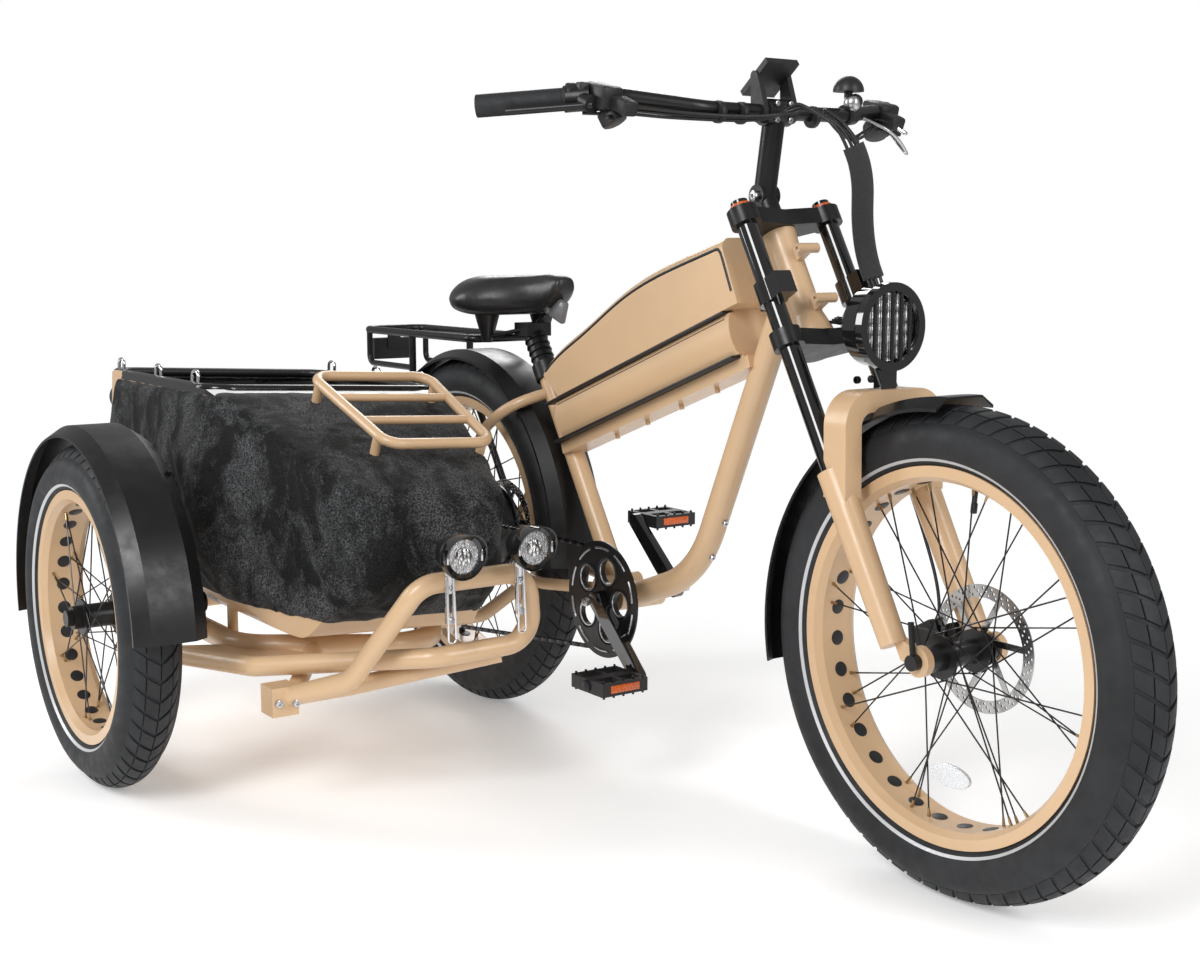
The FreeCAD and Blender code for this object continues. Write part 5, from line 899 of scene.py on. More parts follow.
def tread_block(name, inner, outer, side, centre, radius, crown, pitch, sizes):
    """One block of a slanted tread bar between two places across the crown, bent round the crown."""
    height = sizes.tread_height * 2
    block = slab(name + "_block", Vector(), (pitch * block_length_share, outer - inner, height))
    alone(block)
    bpy.ops.object.mode_set(mode="EDIT")
    bpy.ops.mesh.select_all(action="SELECT")
    bpy.ops.mesh.subdivide(number_cuts=2)
    bpy.ops.object.mode_set(mode="OBJECT")
    softened(block, block_edge, 1)
    for vertex in block.data.vertices:
        along, across, up = vertex.co
        arc = (inner + outer) / 2 + across
        angle = side * arc / crown
        out = radius - crown + (crown + up - height / 2) * math.cos(angle)
        turn = (along - sizes.tread_slant * arc) / radius
        aside = (crown + up - height / 2) * math.sin(angle)
        vertex.co = centre + Vector((out * math.sin(turn), aside, out * math.cos(turn)))
    return block


def treaded_tyre(wheel, sizes):
    """A fat tyre: smooth carcass, slanted tread bars over its crown and the pale line near the bead."""
    name = wheel + "_tyre_tread"
    low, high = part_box(wheel + "_tyre")
    centre = (low + high) / 2
    radius = (high.z - low.z) / 2
    half_width = (high.y - low.y) / 2
    rim_half, rim_edge = rim_edge_of(wheel + "_rim")
    profile = carcass_profile(radius, half_width, rim_half, rim_edge, sizes.tread_height)
    outline = profile + [(-across, out) for across, out in reversed(profile[:-1])]
    carcass = lathe(name + "_carcass", outline, centre, side_way, tyre_steps)
    crown = ((half_width * shoulder_share) ** 2 + shoulder_drop ** 2) / (2 * shoulder_drop)
    count = int(round(sizes.tread_count * radius / full_tyre_radius))
    pitch = 2 * math.pi * radius / count
    blocks = []
    for side in (-1, 1):
        for inner, outer in tread_rows:
            blocks.append(tread_block(name, inner, outer, side, centre, radius, crown, pitch, sizes))
    bars = ring_of(union(name + "_bar", blocks), name + "_bars", centre, side_way, count)
    dressed(union(name, [carcass, bars]), wheel + "_wheel", "tyre", stands_for=(wheel + "_tyre",))
    rings = pale_rings(name, profile, centre, rim_edge + sizes.line_out, sizes.line_width / 2)
    dressed(rings, wheel + "_wheel", "tyre", "pale_line")


line_sunk = 0.001
line_proud = 0.0004


def pale_rings(name, profile, centre, line_radius, half):
    """The reflective line on both side walls, lying on the carcass."""
    spots = []
    for out in (line_radius - half, line_radius + half):
        for (a0, r0), (a1, r1) in zip(profile, profile[1:]):
            if r0 <= out <= r1:
                spots.append((a0 + (a1 - a0) * (out - r0) / (r1 - r0), out))
                break
    (a0, r0), (a1, r1) = spots
    rings = []
    for side in (-1, 1):
        outline = [(side * (a0 - line_sunk), r0), (side * (a0 + line_proud), r0),
                   (side * (a1 + line_proud), r1), (side * (a1 - line_sunk), r1)]
        rings.append(lathe(name + "_line", outline, centre, side_way, tyre_steps))
    return union(name + "_lines", rings)


spoke_count = 32
spoke_gap = 0.0015
spoke_shift = 0.0016
spoke_bed_depth = 0.0226
spoke_seats = {1: 0.017, -1: 0.013}


def round_point(centre, angle, out, aside=0.0):
    """A point round an axle that runs sideways: angle from the top, distance out and to the side."""
    return centre + Vector((out * math.sin(angle), aside, out * math.cos(angle)))


def spoke_places(centre, edge_radius, flange_offset, flange_radius):
    """Start and end of every spoke, laced as in the frame's wheels."""
    lean_radius = flange_radius + spoke_gap
    bed = edge_radius - spoke_bed_depth
    places = []
    for index in range(spoke_count):
        side = 1 if index % 2 else -1
        turn = 1 if (index // 2) % 2 else -1
        start_angle = 2 * math.pi * index / spoke_count
        end_angle = start_angle + turn * math.acos(lean_radius / bed)
        start = round_point(centre, start_angle, lean_radius, side * (flange_offset + turn * spoke_shift))
        places.append((start, round_point(centre, end_angle, bed, side * spoke_seats[turn])))
    return places


# Each row: wheel, axle, flange (offset to the side, radius), number of rim holes, the valve's angle.
wheel_rows = (
    ("front", front_axle, (0.032, 0.030), 32, math.radians(6)),
    ("rear", rear_axle, (0.032, 0.084), 32, math.radians(200)),
    ("sidecar", sidecar_axle, (0.028, 0.030), 28, math.radians(95)),
)
# Outline of a rim plug: place along its axis and share of its radius, between its two centres.
plug_shares = ((-0.0015, 0.7), (-0.0009, 0.97), (0.0003, 1.0))
plug_centres = ((-0.0016, 0.0001), (0.0008, 0.0001))
nipple_thin = 0.0017
nipple_thick = 0.0026
nipple_over = 0.0004
# Parts of a valve: name, where it starts and ends inside the rim, radius, sides, rounded edge.
valve_foot = 0.0222
valve_rows = (
    ("stem", 0.0, 0.030, 0.0032, 12, 0.0006),
    ("cap", 0.026, 0.040, 0.0046, 12, 0.001),
    ("base", -0.001, 0.006, 0.0065, 6, 0.0006),
)


def wheel_trim(name, centre, flange, hole_count, valve_angle, sizes):
    """Plugs bulging in the rim's holes, spoke nipples and the valve stem."""
    body = name + "_wheel"
    rim_edge = rim_edge_of(name + "_rim")[1]
    bed = (frame["nodes"][name + "_rim"].ray_cast(centre, up_way)[1] - centre).length
    outline = [(along, sizes.hole_radius * share) for along, share in plug_shares]
    outline = [plug_centres[0]] + outline + [plug_centres[1]]
    bulge = lathe(name + "_bulge", outline, centre + up_way * bed, up_way, steps=24)
    tapes = ring_of(bulge, name + "_tape", centre, side_way, hole_count, math.pi / hole_count)
    dressed(tapes, body, "black_plastic")
    nipples = []
    for start, end in spoke_places(centre, rim_edge, *flange):
        way = (end - start).normalized()
        foot = end - way * sizes.nipple_length
        tip = end + way * nipple_over
        nipples.append(rod(name + "_nipple", foot, tip, nipple_thin, sides=8, tip=nipple_thick))
    dressed(union(name + "_nipples", nipples), body, "steel", "brass")
    valve = []
    for part, near, far, radius, sides, edge in valve_rows:
        ends = [round_point(centre, valve_angle, rim_edge - valve_foot - inward) for inward in (near, far)]
        valve.append(rod(name + "_" + part, *ends, radius, sides, edge))
    dressed(union(name + "_valve", valve), body, "black_plastic")


floor_size = 60.0
camera_place = (2791.1, -1668.7, 892.8)
sensor_width = 36.0
# Each row: name, place, what the lamp is aimed at, its width and height, its power.
lamp_rows = (
    ("key", (1.9, -3.8, 3.2), (-0.1, -0.1, 0.4), (1.6, 2.4), 150.0),
    ("fill", (4.2, 1.0, 2.4), (0.2, 0.1, 0.5), (0.9, 2.6), 62.0),
    ("rear", (-3.2, 2.4, 3.0), (0, 0, 0.6), (2.0, 2.0), 75.0),
    ("side", (-3.0, -3.2, 2.2), (-0.2, -0.3, 0.4), (0.9, 2.4), 60.0),
)


class StageMaker(bpy.types.Operator):
    """Floor, even light, lamps and the camera."""
    bl_idname = "sidecar_bike.stage"
    bl_label = "Stage"

    def execute(self, context):
        sizes = context.scene.stage_sizes
        bpy.ops.object.select_all(action="DESELECT")
        bpy.ops.mesh.primitive_plane_add(size=floor_size, location=(0, 0, 0))
        floor = fresh("floor")
        floor.data.materials.append(floor_fade())
        even_world(sizes.sky)
        for row in lamp_rows:
            soft_lamp(*row)
        camera = bpy.data.objects.new("camera", bpy.data.cameras.new("camera"))
        bpy.context.scene.collection.objects.link(camera)
        camera.data.sensor_width = sensor_width
        camera.data.lens = sizes.lens
        camera.location = bike(*camera_place)
        camera.rotation_euler = (math.pi / 2 - sizes.dip, 0, sizes.turn)
        context.scene.camera = camera
        context.scene.view_settings.view_transform = "Standard"
        return {"FINISHED"}


def even_world(strength):
    """Even light all round, white where the camera or glass looks at it."""
    world = bpy.data.worlds.new("studio")
    bpy.context.scene.world = world
    world.use_nodes = True
    nodes = world.node_tree.nodes
    links = world.node_tree.links
    background = nodes["Background"]
    background.inputs["Color"].default_value = (1, 1, 1, 1)
    path = nodes.new("ShaderNodeLightPath")
    seen = nodes.new("ShaderNodeMath")
    seen.operation = "MAXIMUM"
    links.new(path.outputs["Is Camera Ray"], seen.inputs[0])
    links.new(path.outputs["Is Transmission Ray"], seen.inputs[1])
    level = nodes.new("ShaderNodeMapRange")
    links.new(seen.outputs[0], level.inputs["Value"])
    level.inputs["To Min"].default_value = strength
    level.inputs["To Max"].default_value = 1.0
    links.new(level.outputs[0], background.inputs["Strength"])


def soft_lamp(name, place, target, size, power):
    """A tall soft box aimed at a point."""
    lamp = bpy.data.lights.new(name, "AREA")
    lamp.shape = "RECTANGLE"
    lamp.size, lamp.size_y = size
    lamp.energy = power
    holder = bpy.data.objects.new(name, lamp)
    bpy.context.scene.collection.objects.link(holder)
    holder.location = place
    holder.rotation_euler = (Vector(target) - Vector(place)).to_track_quat("-Z", "Y").to_euler()


# Nodes that wear another finish than that of their slot.
special_finishes = {
    "battery": "sand_paint", "headlight": "gloss_black", "crankset": "gloss_black", "rear_axle": "steel",
    "front_axle": "black_paint", "tail_lamps": "black_plastic", "front_hub": "front_disc_hub",
    "rear_hub_motor": "rear_disc_hub", "tub": "tub_paint", "bell": "black_plastic",
    "derailleur": "dark_steel", "lamp_glasses": "ribbed_lens", "headlight_glass": "fluted_glass",
    "display": "black_plastic",
}


class NodeFinisher(bpy.types.Operator):
    """Give every CAD node its finish."""
    bl_idname = "sidecar_bike.finish_nodes"
    bl_label = "Finish the frame"

    def execute(self, context):
        mix_finishes(context.scene.paint_colours)
        for entry in frame["record"]["subparts"]:
            node = frame["nodes"][entry["node"]]
            node.data.materials.clear()
            node.data.materials.append(shelf[special_finishes.get(entry["node"], entry["material_slot"])])
        return {"FINISHED"}


class TyreMaker(bpy.types.Operator):
    """The three treaded tyres with their pale lines."""
    bl_idname = "sidecar_bike.tyres"
    bl_label = "Tyres"

    def execute(self, context):
        sizes = context.scene.wheel_sizes
        for wheel, *_ in wheel_rows:
            treaded_tyre(wheel, sizes)
        return {"FINISHED"}


reflector_offset = (0.012, -0.020, -0.165)
reflector_half = 0.003
reflector_radius = 0.016
reflector_stretch = 2.3


def spoke_reflector():
    """The clear oval reflector between the low spokes of the front wheel."""
    middle = front_axle + Vector(reflector_offset)
    half = side_way * reflector_half
    plate = rod("spoke_reflector", middle - half, middle + half, reflector_radius, sides=40, edge=0.0008)
    for vertex in plate.data.vertices:
        vertex.co.x = middle.x + (vertex.co.x - middle.x) * reflector_stretch
    dressed(smooth(plate), "front_wheel", "lens", "clear_reflector")


class WheelTrimMaker(bpy.types.Operator):
    """Rim plugs, nipples, valves and the spoke reflector."""
    bl_idname = "sidecar_bike.wheel_trim"
    bl_label = "Wheel trim"

    def execute(self, context):
        sizes = context.scene.wheel_sizes
        for row in wheel_rows:
            wheel_trim(*row, sizes)
        spoke_reflector()
        return {"FINISHED"}


link_pitch = 0.0127
outer_link_width = 0.0062
inner_link_width = 0.0044
chain_side = -0.066
ring_radius = 0.086
cog_radius = 0.028
pulley_radius = 0.016
pulley_place = (44, -66, 172)
wrap_steps = 24


class ChainMaker(bpy.types.Operator):
    """The roller chain, link by link along the frame's chain line."""
    bl_idname = "sidecar_bike.chain"
    bl_label = "Chain"

    def execute(self, context):
        links = []
        path = chain_path()
        total = path[-1][0]
        count = int(round(total / link_pitch / 2)) * 2
        pitch = total / count
        model = chain_link("link", pitch, outer_link_width)
        inner = chain_link("inner_link", pitch, inner_link_width)
        for index in range(count):
            start = along_path(path, pitch * index)
            end = along_path(path, pitch * (index + 1))
            way = (end - start).normalized()
            up = way.cross(side_way).normalized()
            turn = Matrix((way, side_way, -up)).transposed().to_4x4()
            source = model if index % 2 else inner
            copy = source.copy()
            copy.data = source.data.copy()
            copy.data.transform(Matrix.Translation((start + end) / 2) @ turn)
            context.scene.collection.objects.link(copy)
            links.append(copy)
        bpy.data.objects.remove(model)
        bpy.data.objects.remove(inner)
        dressed(union("roller_chain", links), "frame", "dark_steel", stands_for=("chain",))
        return {"FINISHED"}


def tangent_points(first, first_radius, second, second_radius):
    """The outer tangent of two circles in the chain's plane."""
    gap = second - first
    angle = math.atan2(gap.z, gap.x) - math.acos((first_radius - second_radius) / gap.length)
    way = Vector((math.cos(angle), 0, math.sin(angle)))
    return first + way * first_radius, second + way * second_radius


def chain_path():
    """The chain's middle line as (distance so far, point) pairs: round ring, sprocket and pulley."""
    plane = Vector((0, chain_side, 0))
    ring = crank_axle + plane
    cog = rear_axle + plane
    lower = bike(*pulley_place)
    top_ring, top_cog = tangent_points(ring, ring_radius, cog, cog_radius)
    low_lower, low_ring = tangent_points(lower, pulley_radius, ring, ring_radius)
    cog_side, lower_side = tangent_points(cog, cog_radius, lower, pulley_radius)
    points = [top_ring, top_cog]
    points += round_part(cog, top_cog, cog_side, -ahead_way)
    points += [lower_side]
    points += round_part(lower, lower_side, low_lower, (lower_side + low_lower - lower * 2).normalized())
    points += [low_ring]
    points += round_part(ring, low_ring, top_ring, ahead_way)
    path = [(0.0, points[0])]
    for before, after in zip(points, points[1:]):
        path.append((path[-1][0] + (after - before).length, after))
    return path


def round_part(centre, start, end, outward):
    """Points round a wheel from one place to another, by way of its outward side."""
    radius = (start - centre).length
    first = math.atan2((start - centre).z, (start - centre).x)
    last = math.atan2((end - centre).z, (end - centre).x)
    middle = math.atan2(outward.z, outward.x)
    turn = 2 * math.pi
    sweep = (last - first) % turn
    if (middle - first) % turn > sweep:
        sweep -= turn
    angles = [first + sweep * index / wrap_steps for index in range(1, wrap_steps + 1)]
    return [centre + Vector((math.cos(angle), 0, math.sin(angle))) * radius for angle in angles]


def along_path(path, distance):
    """The point at a distance along a path."""
    distance = distance % path[-1][0]
    for (d0, p0), (d1, p1) in zip(path, path[1:]):
        if d0 <= distance <= d1 and d1 > d0:
            return p0 + (p1 - p0) * ((distance - d0) / (d1 - d0))
    return path[0][1]


plate_over = 0.007
plate_thickness = 0.0010
plate_height = 0.0074
plate_height_share = 0.9
plate_edge = 0.0030
roller_radius = 0.0036


def chain_link(name, pitch, width):
    """Two side plates with round ends and a roller, lying along X."""
    pieces = []
    for side in (-1, 1):
        centre = Vector((0, side * width / 2, 0))
        plate = slab(name + "_plate", centre, (pitch + plate_over, plate_thickness, plate_height))
        for vertex in plate.data.vertices:
            vertex.co.z *= plate_height_share
        pieces.append(softened(plate, plate_edge, angle=80.0))
    ends = [Vector((pitch / 2, side * width / 2, 0)) for side in (-1, 1)]
    return union(name, pieces + [rod(name + "_roller", *ends, roller_radius, sides=10)])


saddle_voxel = 0.006
saddle_rounds = 8
saddle_smoothing = 0.6
puff_most = 0.004
puff_pressure = 4.0
puff_frames = 20
nose_lift = 0.016
middle_sag = 0.005
seam_share = 0.22
seam_half = 0.0026
seam_depth = 0.0016
soft_angle = 60.0


class SaddleMaker(bpy.types.Operator):
    """The saddle as a soft padded shell with its seam."""
    bl_idname = "sidecar_bike.saddle"
    bl_label = "Saddle"

    def execute(self, context):
        piece = cad_copy("saddle", "saddle_pad")
        modified(piece, "REMESH", mode="VOXEL", voxel_size=saddle_voxel)
        modified(piece, "SMOOTH", factor=saddle_smoothing, iterations=saddle_rounds)
        puffed(piece)
        low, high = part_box("saddle")
        saddle_swept(piece, low, high)
        saddle_seam(piece, low, high)
        modified(piece, "SUBSURF", levels=1, render_levels=1)
        smooth(piece, soft_angle)
        dressed(piece, "frame", "saddle_cover", stands_for=("saddle",))
        return {"FINISHED"}


def saddle_swept(piece, low, high):
    """Lift the saddle's nose and let its middle sag."""
    for vertex in piece.data.vertices:
        along = (vertex.co.x - low.x) / (high.x - low.x)
        vertex.co.z += nose_lift * along ** 3 - middle_sag * math.sin(math.pi * along)


def saddle_seam(piece, low, high):
    """Draw the cover in along the seam low on the saddle's side."""
    seam = low.z + (high.z - low.z) * seam_share
    middle = (low.x + high.x) / 2
    for vertex in piece.data.vertices:
        nearness = abs(vertex.co.z - seam) / seam_half
        if nearness < 1:
            inward = Vector((vertex.co.x - middle, vertex.co.y - rear_axle.y, 0)).normalized()
            vertex.co -= inward * seam_depth * (1 - nearness * nearness)


def puffed(piece):
    """Swell a closed pad with a short cloth run, no point moving further than a limit."""
    before = [vertex.co.copy() for vertex in piece.data.vertices]
    alone(piece)
    cloth = piece.modifiers.new("cloth", "CLOTH")
    cloth.settings.use_pressure = True
    cloth.settings.uniform_pressure_force = puff_pressure
    cloth.settings.effector_weights.gravity = 0.0
    cloth.point_cache.frame_start = 1
    cloth.point_cache.frame_end = puff_frames
    for step in range(1, puff_frames + 1):
        bpy.context.scene.frame_set(step)
    bpy.ops.object.modifier_apply(modifier=cloth.name)
    bpy.context.scene.frame_set(1)
    for vertex, place in zip(piece.data.vertices, before):
        move = vertex.co - place
        if move.length > puff_most:
            vertex.co = place + move.normalized() * puff_most


cover_voxel = 0.0065
cover_smoothing = 0.5
cover_rounds = 24
cockpit_front_mm = 116.0
hem_lift = 0.004
top_normal = 0.972
top_band = 0.05
rear_normal = -0.9
rear_band = 0.012
bottom_normal = -0.93
hem_band_share = 0.22
hem_lowering = 0.016


class CoverMaker(bpy.types.Operator):
    """The napped cloth cover stretched round the tub, in folds, with its wandering hem."""
    bl_idname = "sidecar_bike.cover"
    bl_label = "Tub cover"

    def execute(self, context):
        sizes = context.scene.cover_sizes
        piece = cad_copy("tub_cover", "cloth_cover")
        alone(piece)
        bpy.ops.object.mode_set(mode="EDIT")
        bpy.ops.mesh.select_all(action="SELECT")
        bpy.ops.mesh.convex_hull()
        bpy.ops.object.mode_set(mode="OBJECT")
        modified(piece, "REMESH", mode="VOXEL", voxel_size=cover_voxel)
        modified(piece, "SMOOTH", factor=cover_smoothing, iterations=cover_rounds)
        low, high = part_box("tub_cover")
        remove_caps(piece, low, high, sizes)
        lower_hem(piece, low, high)
        fold_cloth(piece, low, high, sizes)
        modified(piece, "SOLIDIFY", thickness=sizes.cloth_thickness, offset=-1.0)
        smooth(piece, soft_angle)
        dressed(piece, "frame", "cover_fabric", stands_for=("tub_cover",))
        return {"FINISHED"}


def cockpit_front():
    """Where the tub's opening ends and its deck begins."""
    return bike(cockpit_front_mm, 0, 0).x


def hem_height(place, low, sizes):
    """The lower hem's height at a place, wandering a little."""
    wander = noise.noise(place * 9.0) + 0.35 * noise.noise(place * 60.0)
    return low.z + hem_lift + sizes.hem_wave * wander


def remove_caps(piece, low, high, sizes):
    """Delete the flat faces that close the hull at its top, rear and bottom, and trim the hem."""
    mesh = piece.data
    doomed = []
    for polygon in mesh.polygons:
        middle = polygon.center
        at_top = middle.z > high.z - top_band and middle.x < cockpit_front()
        flat_top = polygon.normal.z > top_normal and at_top
        flat_rear = polygon.normal.x < rear_normal and middle.x < low.x + rear_band
        under_hem = middle.z < hem_height(Vector((middle.x, middle.y, 0)), low, sizes)
        doomed.append(flat_top or flat_rear or polygon.normal.z < bottom_normal or under_hem)
    bpy.ops.object.mode_set(mode="EDIT")
    bpy.ops.mesh.select_mode(type="FACE")
    bpy.ops.mesh.select_all(action="DESELECT")
    bpy.ops.object.mode_set(mode="OBJECT")
    for polygon, gone in zip(mesh.polygons, doomed):
        polygon.select = gone
    bpy.ops.object.mode_set(mode="EDIT")
    bpy.ops.mesh.delete(type="FACE")
    bpy.ops.object.mode_set(mode="OBJECT")


def lower_hem(piece, low, high):
    """Draw the cloth's lowest part further down along its own face, close to the pan."""
    span = high.z - low.z
    normals = [vertex.normal.copy() for vertex in piece.data.vertices]
    for vertex, normal in zip(piece.data.vertices, normals):
        share = max(0.0, 1.0 - (vertex.co.z - low.z) / (hem_band_share * span))
        down = normal * normal.z - up_way
        vertex.co += down * (hem_lowering * share * share)


ridge_scale = 1.9
ridge_shift = (3.1, 0.4, 7.7)
ridge_sharpness = 2.2
ripple_scale = 42.0
ripple_share = 0.08
bend_share = 0.45
ridge_share = 0.55
belly_share = 0.8
least_rise = 0.25


def fold_height(slant):
    """How high the long folds stand at a place, given in the folds' slanted measure."""
    bend = noise.noise(slant) * 0.5 + 0.5
    ridge = 1.0 - abs(noise.noise(slant * ridge_scale + Vector(ridge_shift))) * ridge_sharpness
    return bend_share * bend + ridge_share * max(0.0, ridge) ** 2


def fold_cloth(piece, low, high, sizes):
    """Raise long slanting folds, outward only, that fade towards the rim and the hem."""
    span = high - low
    normals = [vertex.normal.copy() for vertex in piece.data.vertices]
    for vertex, normal in zip(piece.data.vertices, normals):
        place = vertex.co
        height = (place.z - low.z) / span.z
        ahead = (place.x - low.x) / span.x
        slant = Vector((place.x * 7.0 + place.z * 5.5, place.y * 7.0, place.z * 1.4 - place.x * 1.2))
        small = noise.noise(place * ripple_scale) * ripple_share + ripple_share
        held = min(1.0, (1.0 - height) * 5.0) * min(1.0, height * 4.0 + 0.35)
        side = 1.0 - max(0.0, normal.z)
        belly = belly_share * math.sin(math.pi * min(1.0, max(0.0, height)))
        rise = fold_height(slant) * held * (0.55 + 0.45 * ahead) * side + small + belly * side + least_rise
        vertex.co = place + normal * (sizes.fold_height * rise)


class SmallPartsMaker(bpy.types.Operator):
    """Cables, bolts, reflectors, lamp faces and seams."""
    bl_idname = "sidecar_bike.small_parts"
    bl_label = "Small parts"

    def execute(self, context):
        for make in small_parts:
            make()
        return {"FINISHED"}


cradle_angle = math.radians(19.9)
cradle_way = Vector((math.cos(cradle_angle), 0, math.sin(cradle_angle)))
cradle_up = Vector((-math.sin(cradle_angle), 0, math.cos(cradle_angle)))
cradle_foot = (330.0, 521.5)


def raked(along, up, side):
    """A point in the raked frame of battery and tank, in millimetres."""
    ahead, height = cradle_foot
    return bike(ahead, side, height) + cradle_way * (along * mm) + cradle_up * (up * mm)


gasket_along = 264
gasket_length = 0.530
gasket_width = 0.0884
gasket_rows = ((21.5, 0.0046), (92.5, 0.0042))


def frame_seams():
    """Black gaskets between tank, battery and beam."""
    lines = []
    for up, height in gasket_rows:
        size = (gasket_length, gasket_width, height)
        middle = raked(gasket_along, up, 0)
        lines.append(slab("gasket", middle, size, cradle_up, edge=0.0008, roll=math.pi / 2))
    dressed(union("gasket_lines", lines), "frame", "black_plastic")


def smoothed(points, rounds=3):
    """A line with its corners cut round and its ends kept."""
    for _ in range(rounds):
        cut = [points[0]]
        for first, second in zip(points, points[1:]):
            cut += [first.lerp(second, 0.25), first.lerp(second, 0.75)]
        points = cut + [points[-1]]
    return points


def part_of_line(points, start, end):
    """The part of a line between two shares of its length."""
    lengths = [0.0]
    for first, second in zip(points, points[1:]):
        lengths.append(lengths[-1] + (second - first).length)
    total = lengths[-1]
    return [point for point, length in zip(points, lengths) if start * total <= length <= end * total]


flat_way = Vector((0.57, 0.82, 0))
cable_radius = 0.0025
drift_turn = 0.07
drift_shift = 900.0


def run_and_width(points, index):
    """The direction of a line at one of its points, and the sleeve's flat direction across it."""
    run = (points[min(index + 1, len(points) - 1)] - points[max(index - 1, 0)]).normalized()
    return run, (flat_way - run * flat_way.dot(run)).normalized()


def beside(points, across, up, wave=0.0):
    """A line moved sideways and upward of its own run, wandering a little."""
    moved = []
    for index, point in enumerate(points):
        run, wide = run_and_width(points, index)
        drift = wave * math.sin(index * drift_turn + across * drift_shift)
        moved.append(point + wide * (across + drift) + run.cross(wide) * (up + drift))
    return moved


sleeve_radius = 0.012
sleeve_widening = 0.35
sleeve_thinning = 0.45
# Corners of the cables' lines in millimetres: ahead of the rear axle, to the side, above the ground.
sleeve_corners = ((881.3, 0, 1086), (946.3, 8, 1097.6), (1011.3, 40, 1020.3), (966.7, 80, 892.8),
                  (1016.9, 80, 804))
right_corners = ((792, -300, 1086), (822, -255, 1084), (872, -150, 1073), (890, -60, 1072), (902, -8, 1080),
                 (925, 4, 1094))
left_corners = ((800, 268, 1088), (852, 200, 1070), (905, 105, 1042), (935, 45, 1060), (936, 16, 1088))
loop_corners = ((786, 292, 1090), (830, 300, 1040), (880, 262, 1030), (905, 205, 1062), (872, 170, 1084))
# The same from the foot of the head tube: along the steering axis, ahead, to the side.
foot_corners = ((12, 75, 78), (-4, 66, 70), (-6, 52, 52), (4, 38, 40), (10, 36, 12))
brake_corners = ((-6, 60, 70), (-40, 30, 96), (-150, -4, 84), (-300, -6, 84), (-420, -14, 78),
                 (-470, -46, 62))
# Cables side by side: name, line, and for each its place across, its place up and its wandering.
strand_rows = (
    ("right_cable", "right", ((-0.0085, 0.002, 0.0016), (-0.003, 0.0, 0.0016), (0.0025, -0.002, 0.0016))),
    ("left_cable", "left", ((0.0085, 0.0, 0.0012), (0.004, 0.004, 0.0012))),
    ("lower_cable", "lower", tuple((across, 0.0, 0.001) for across in (-0.009, -0.003, 0.003, 0.009))),
)
pale_radius = 0.0022
clip_sides = (-70, -112, 70)
clip_half = 4
clip_radius = 0.0165


def sleeve_route():
    """The middle line of the frame's cable sleeve."""
    return smoothed([bike(*corner) for corner in sleeve_corners])


def flat_sleeve():
    """The flat woven sleeve in which the cables run down to the fork."""
    middle = part_of_line(sleeve_route(), 0.34, 0.90)
    sleeve = hose("sleeve", middle, sleeve_radius, sides=5)
    for vertex in sleeve.data.vertices:
        nearest = min(range(len(middle)), key=lambda index: (middle[index] - vertex.co).length_squared)
        run, wide = run_and_width(middle, nearest)
        offset = vertex.co - middle[nearest]
        thin = run.cross(wide)
        widened = wide * (offset.dot(wide) * sleeve_widening)
        vertex.co = vertex.co + widened - thin * (offset.dot(thin) * sleeve_thinning)
    dressed(smooth(sleeve), "steering", "cable_fabric", stands_for=("cable_sleeve",))


def cables():
    """The cables that enter and leave the sleeve, those along both halves of the bar and the brake line."""
    route = sleeve_route()
    entry = part_of_line(route, 0.26, 0.40)
    lines = {
        "right": smoothed([bike(*corner) for corner in right_corners] + entry),
        "left": smoothed([bike(*corner) for corner in left_corners] + entry),
        "lower": smoothed(part_of_line(route, 0.84, 0.97) + [on_head(*corner) for corner in foot_corners]),
    }
    strands = []
    for name, line, places in strand_rows:
        strands += [hose(name, beside(lines[line], *place), cable_radius) for place in places]
    strands.append(hose("brake_line", smoothed([on_head(*corner) for corner in brake_corners]), cable_radius))
    dressed(union("cables", strands), "steering", "black_plastic")


def pale_cable():
    """The bright wire that hangs in a loop below the left grip."""
    loop = smoothed([bike(*corner) for corner in loop_corners])
    dressed(hose("pale_cable", loop, pale_radius), "steering", "chrome", "steel")


def cable_clips():
    """The clips that hold the cables to the bar."""
    clips = []
    for side in clip_sides:
        ends = [bike(866, side + half, 1082) for half in (-clip_half, clip_half)]
        clips.append(rod("clip", *ends, clip_radius, edge=0.001))
    dressed(union("cable_clips", clips), "steering", "black_plastic")


# Blocks of a control: name, place in millimetres, size, upward direction, rounded edge.
pod_blocks = (
    ("_pod", (803, 272, 1101), (0.038, 0.052, 0.034), (0.25, 0, 1), 0.006),
    ("_reservoir", (824, 262, 1092), (0.026, 0.074, 0.022), (0.4, 0, 1), 0.005),
    ("_clamp", (786, 290, 1108), (0.030, 0.016, 0.026), (0.1, 0, 1), 0.004),
)
# Round parts of a control: name, start, end, radius, sides, rounded edge, radius at the end.
pod_rods = (
    ("_collar", (771, 296, 1101), (763, 310, 1101), 0.0200, 32, 0.003, None),
    ("_shifter", (802, 262, 1084), (812, 256, 1062), 0.0195, 32, 0.005, None),
    ("_thumb", (812, 262, 1072), (836, 288, 1066), 0.005, 16, 0.002, 0.0038),
)


def on_half(corner, side):
    """A point of the bar's left half, or its mirror on the right half."""
    ahead, out, height = corner
    return bike(ahead, side * out, height)


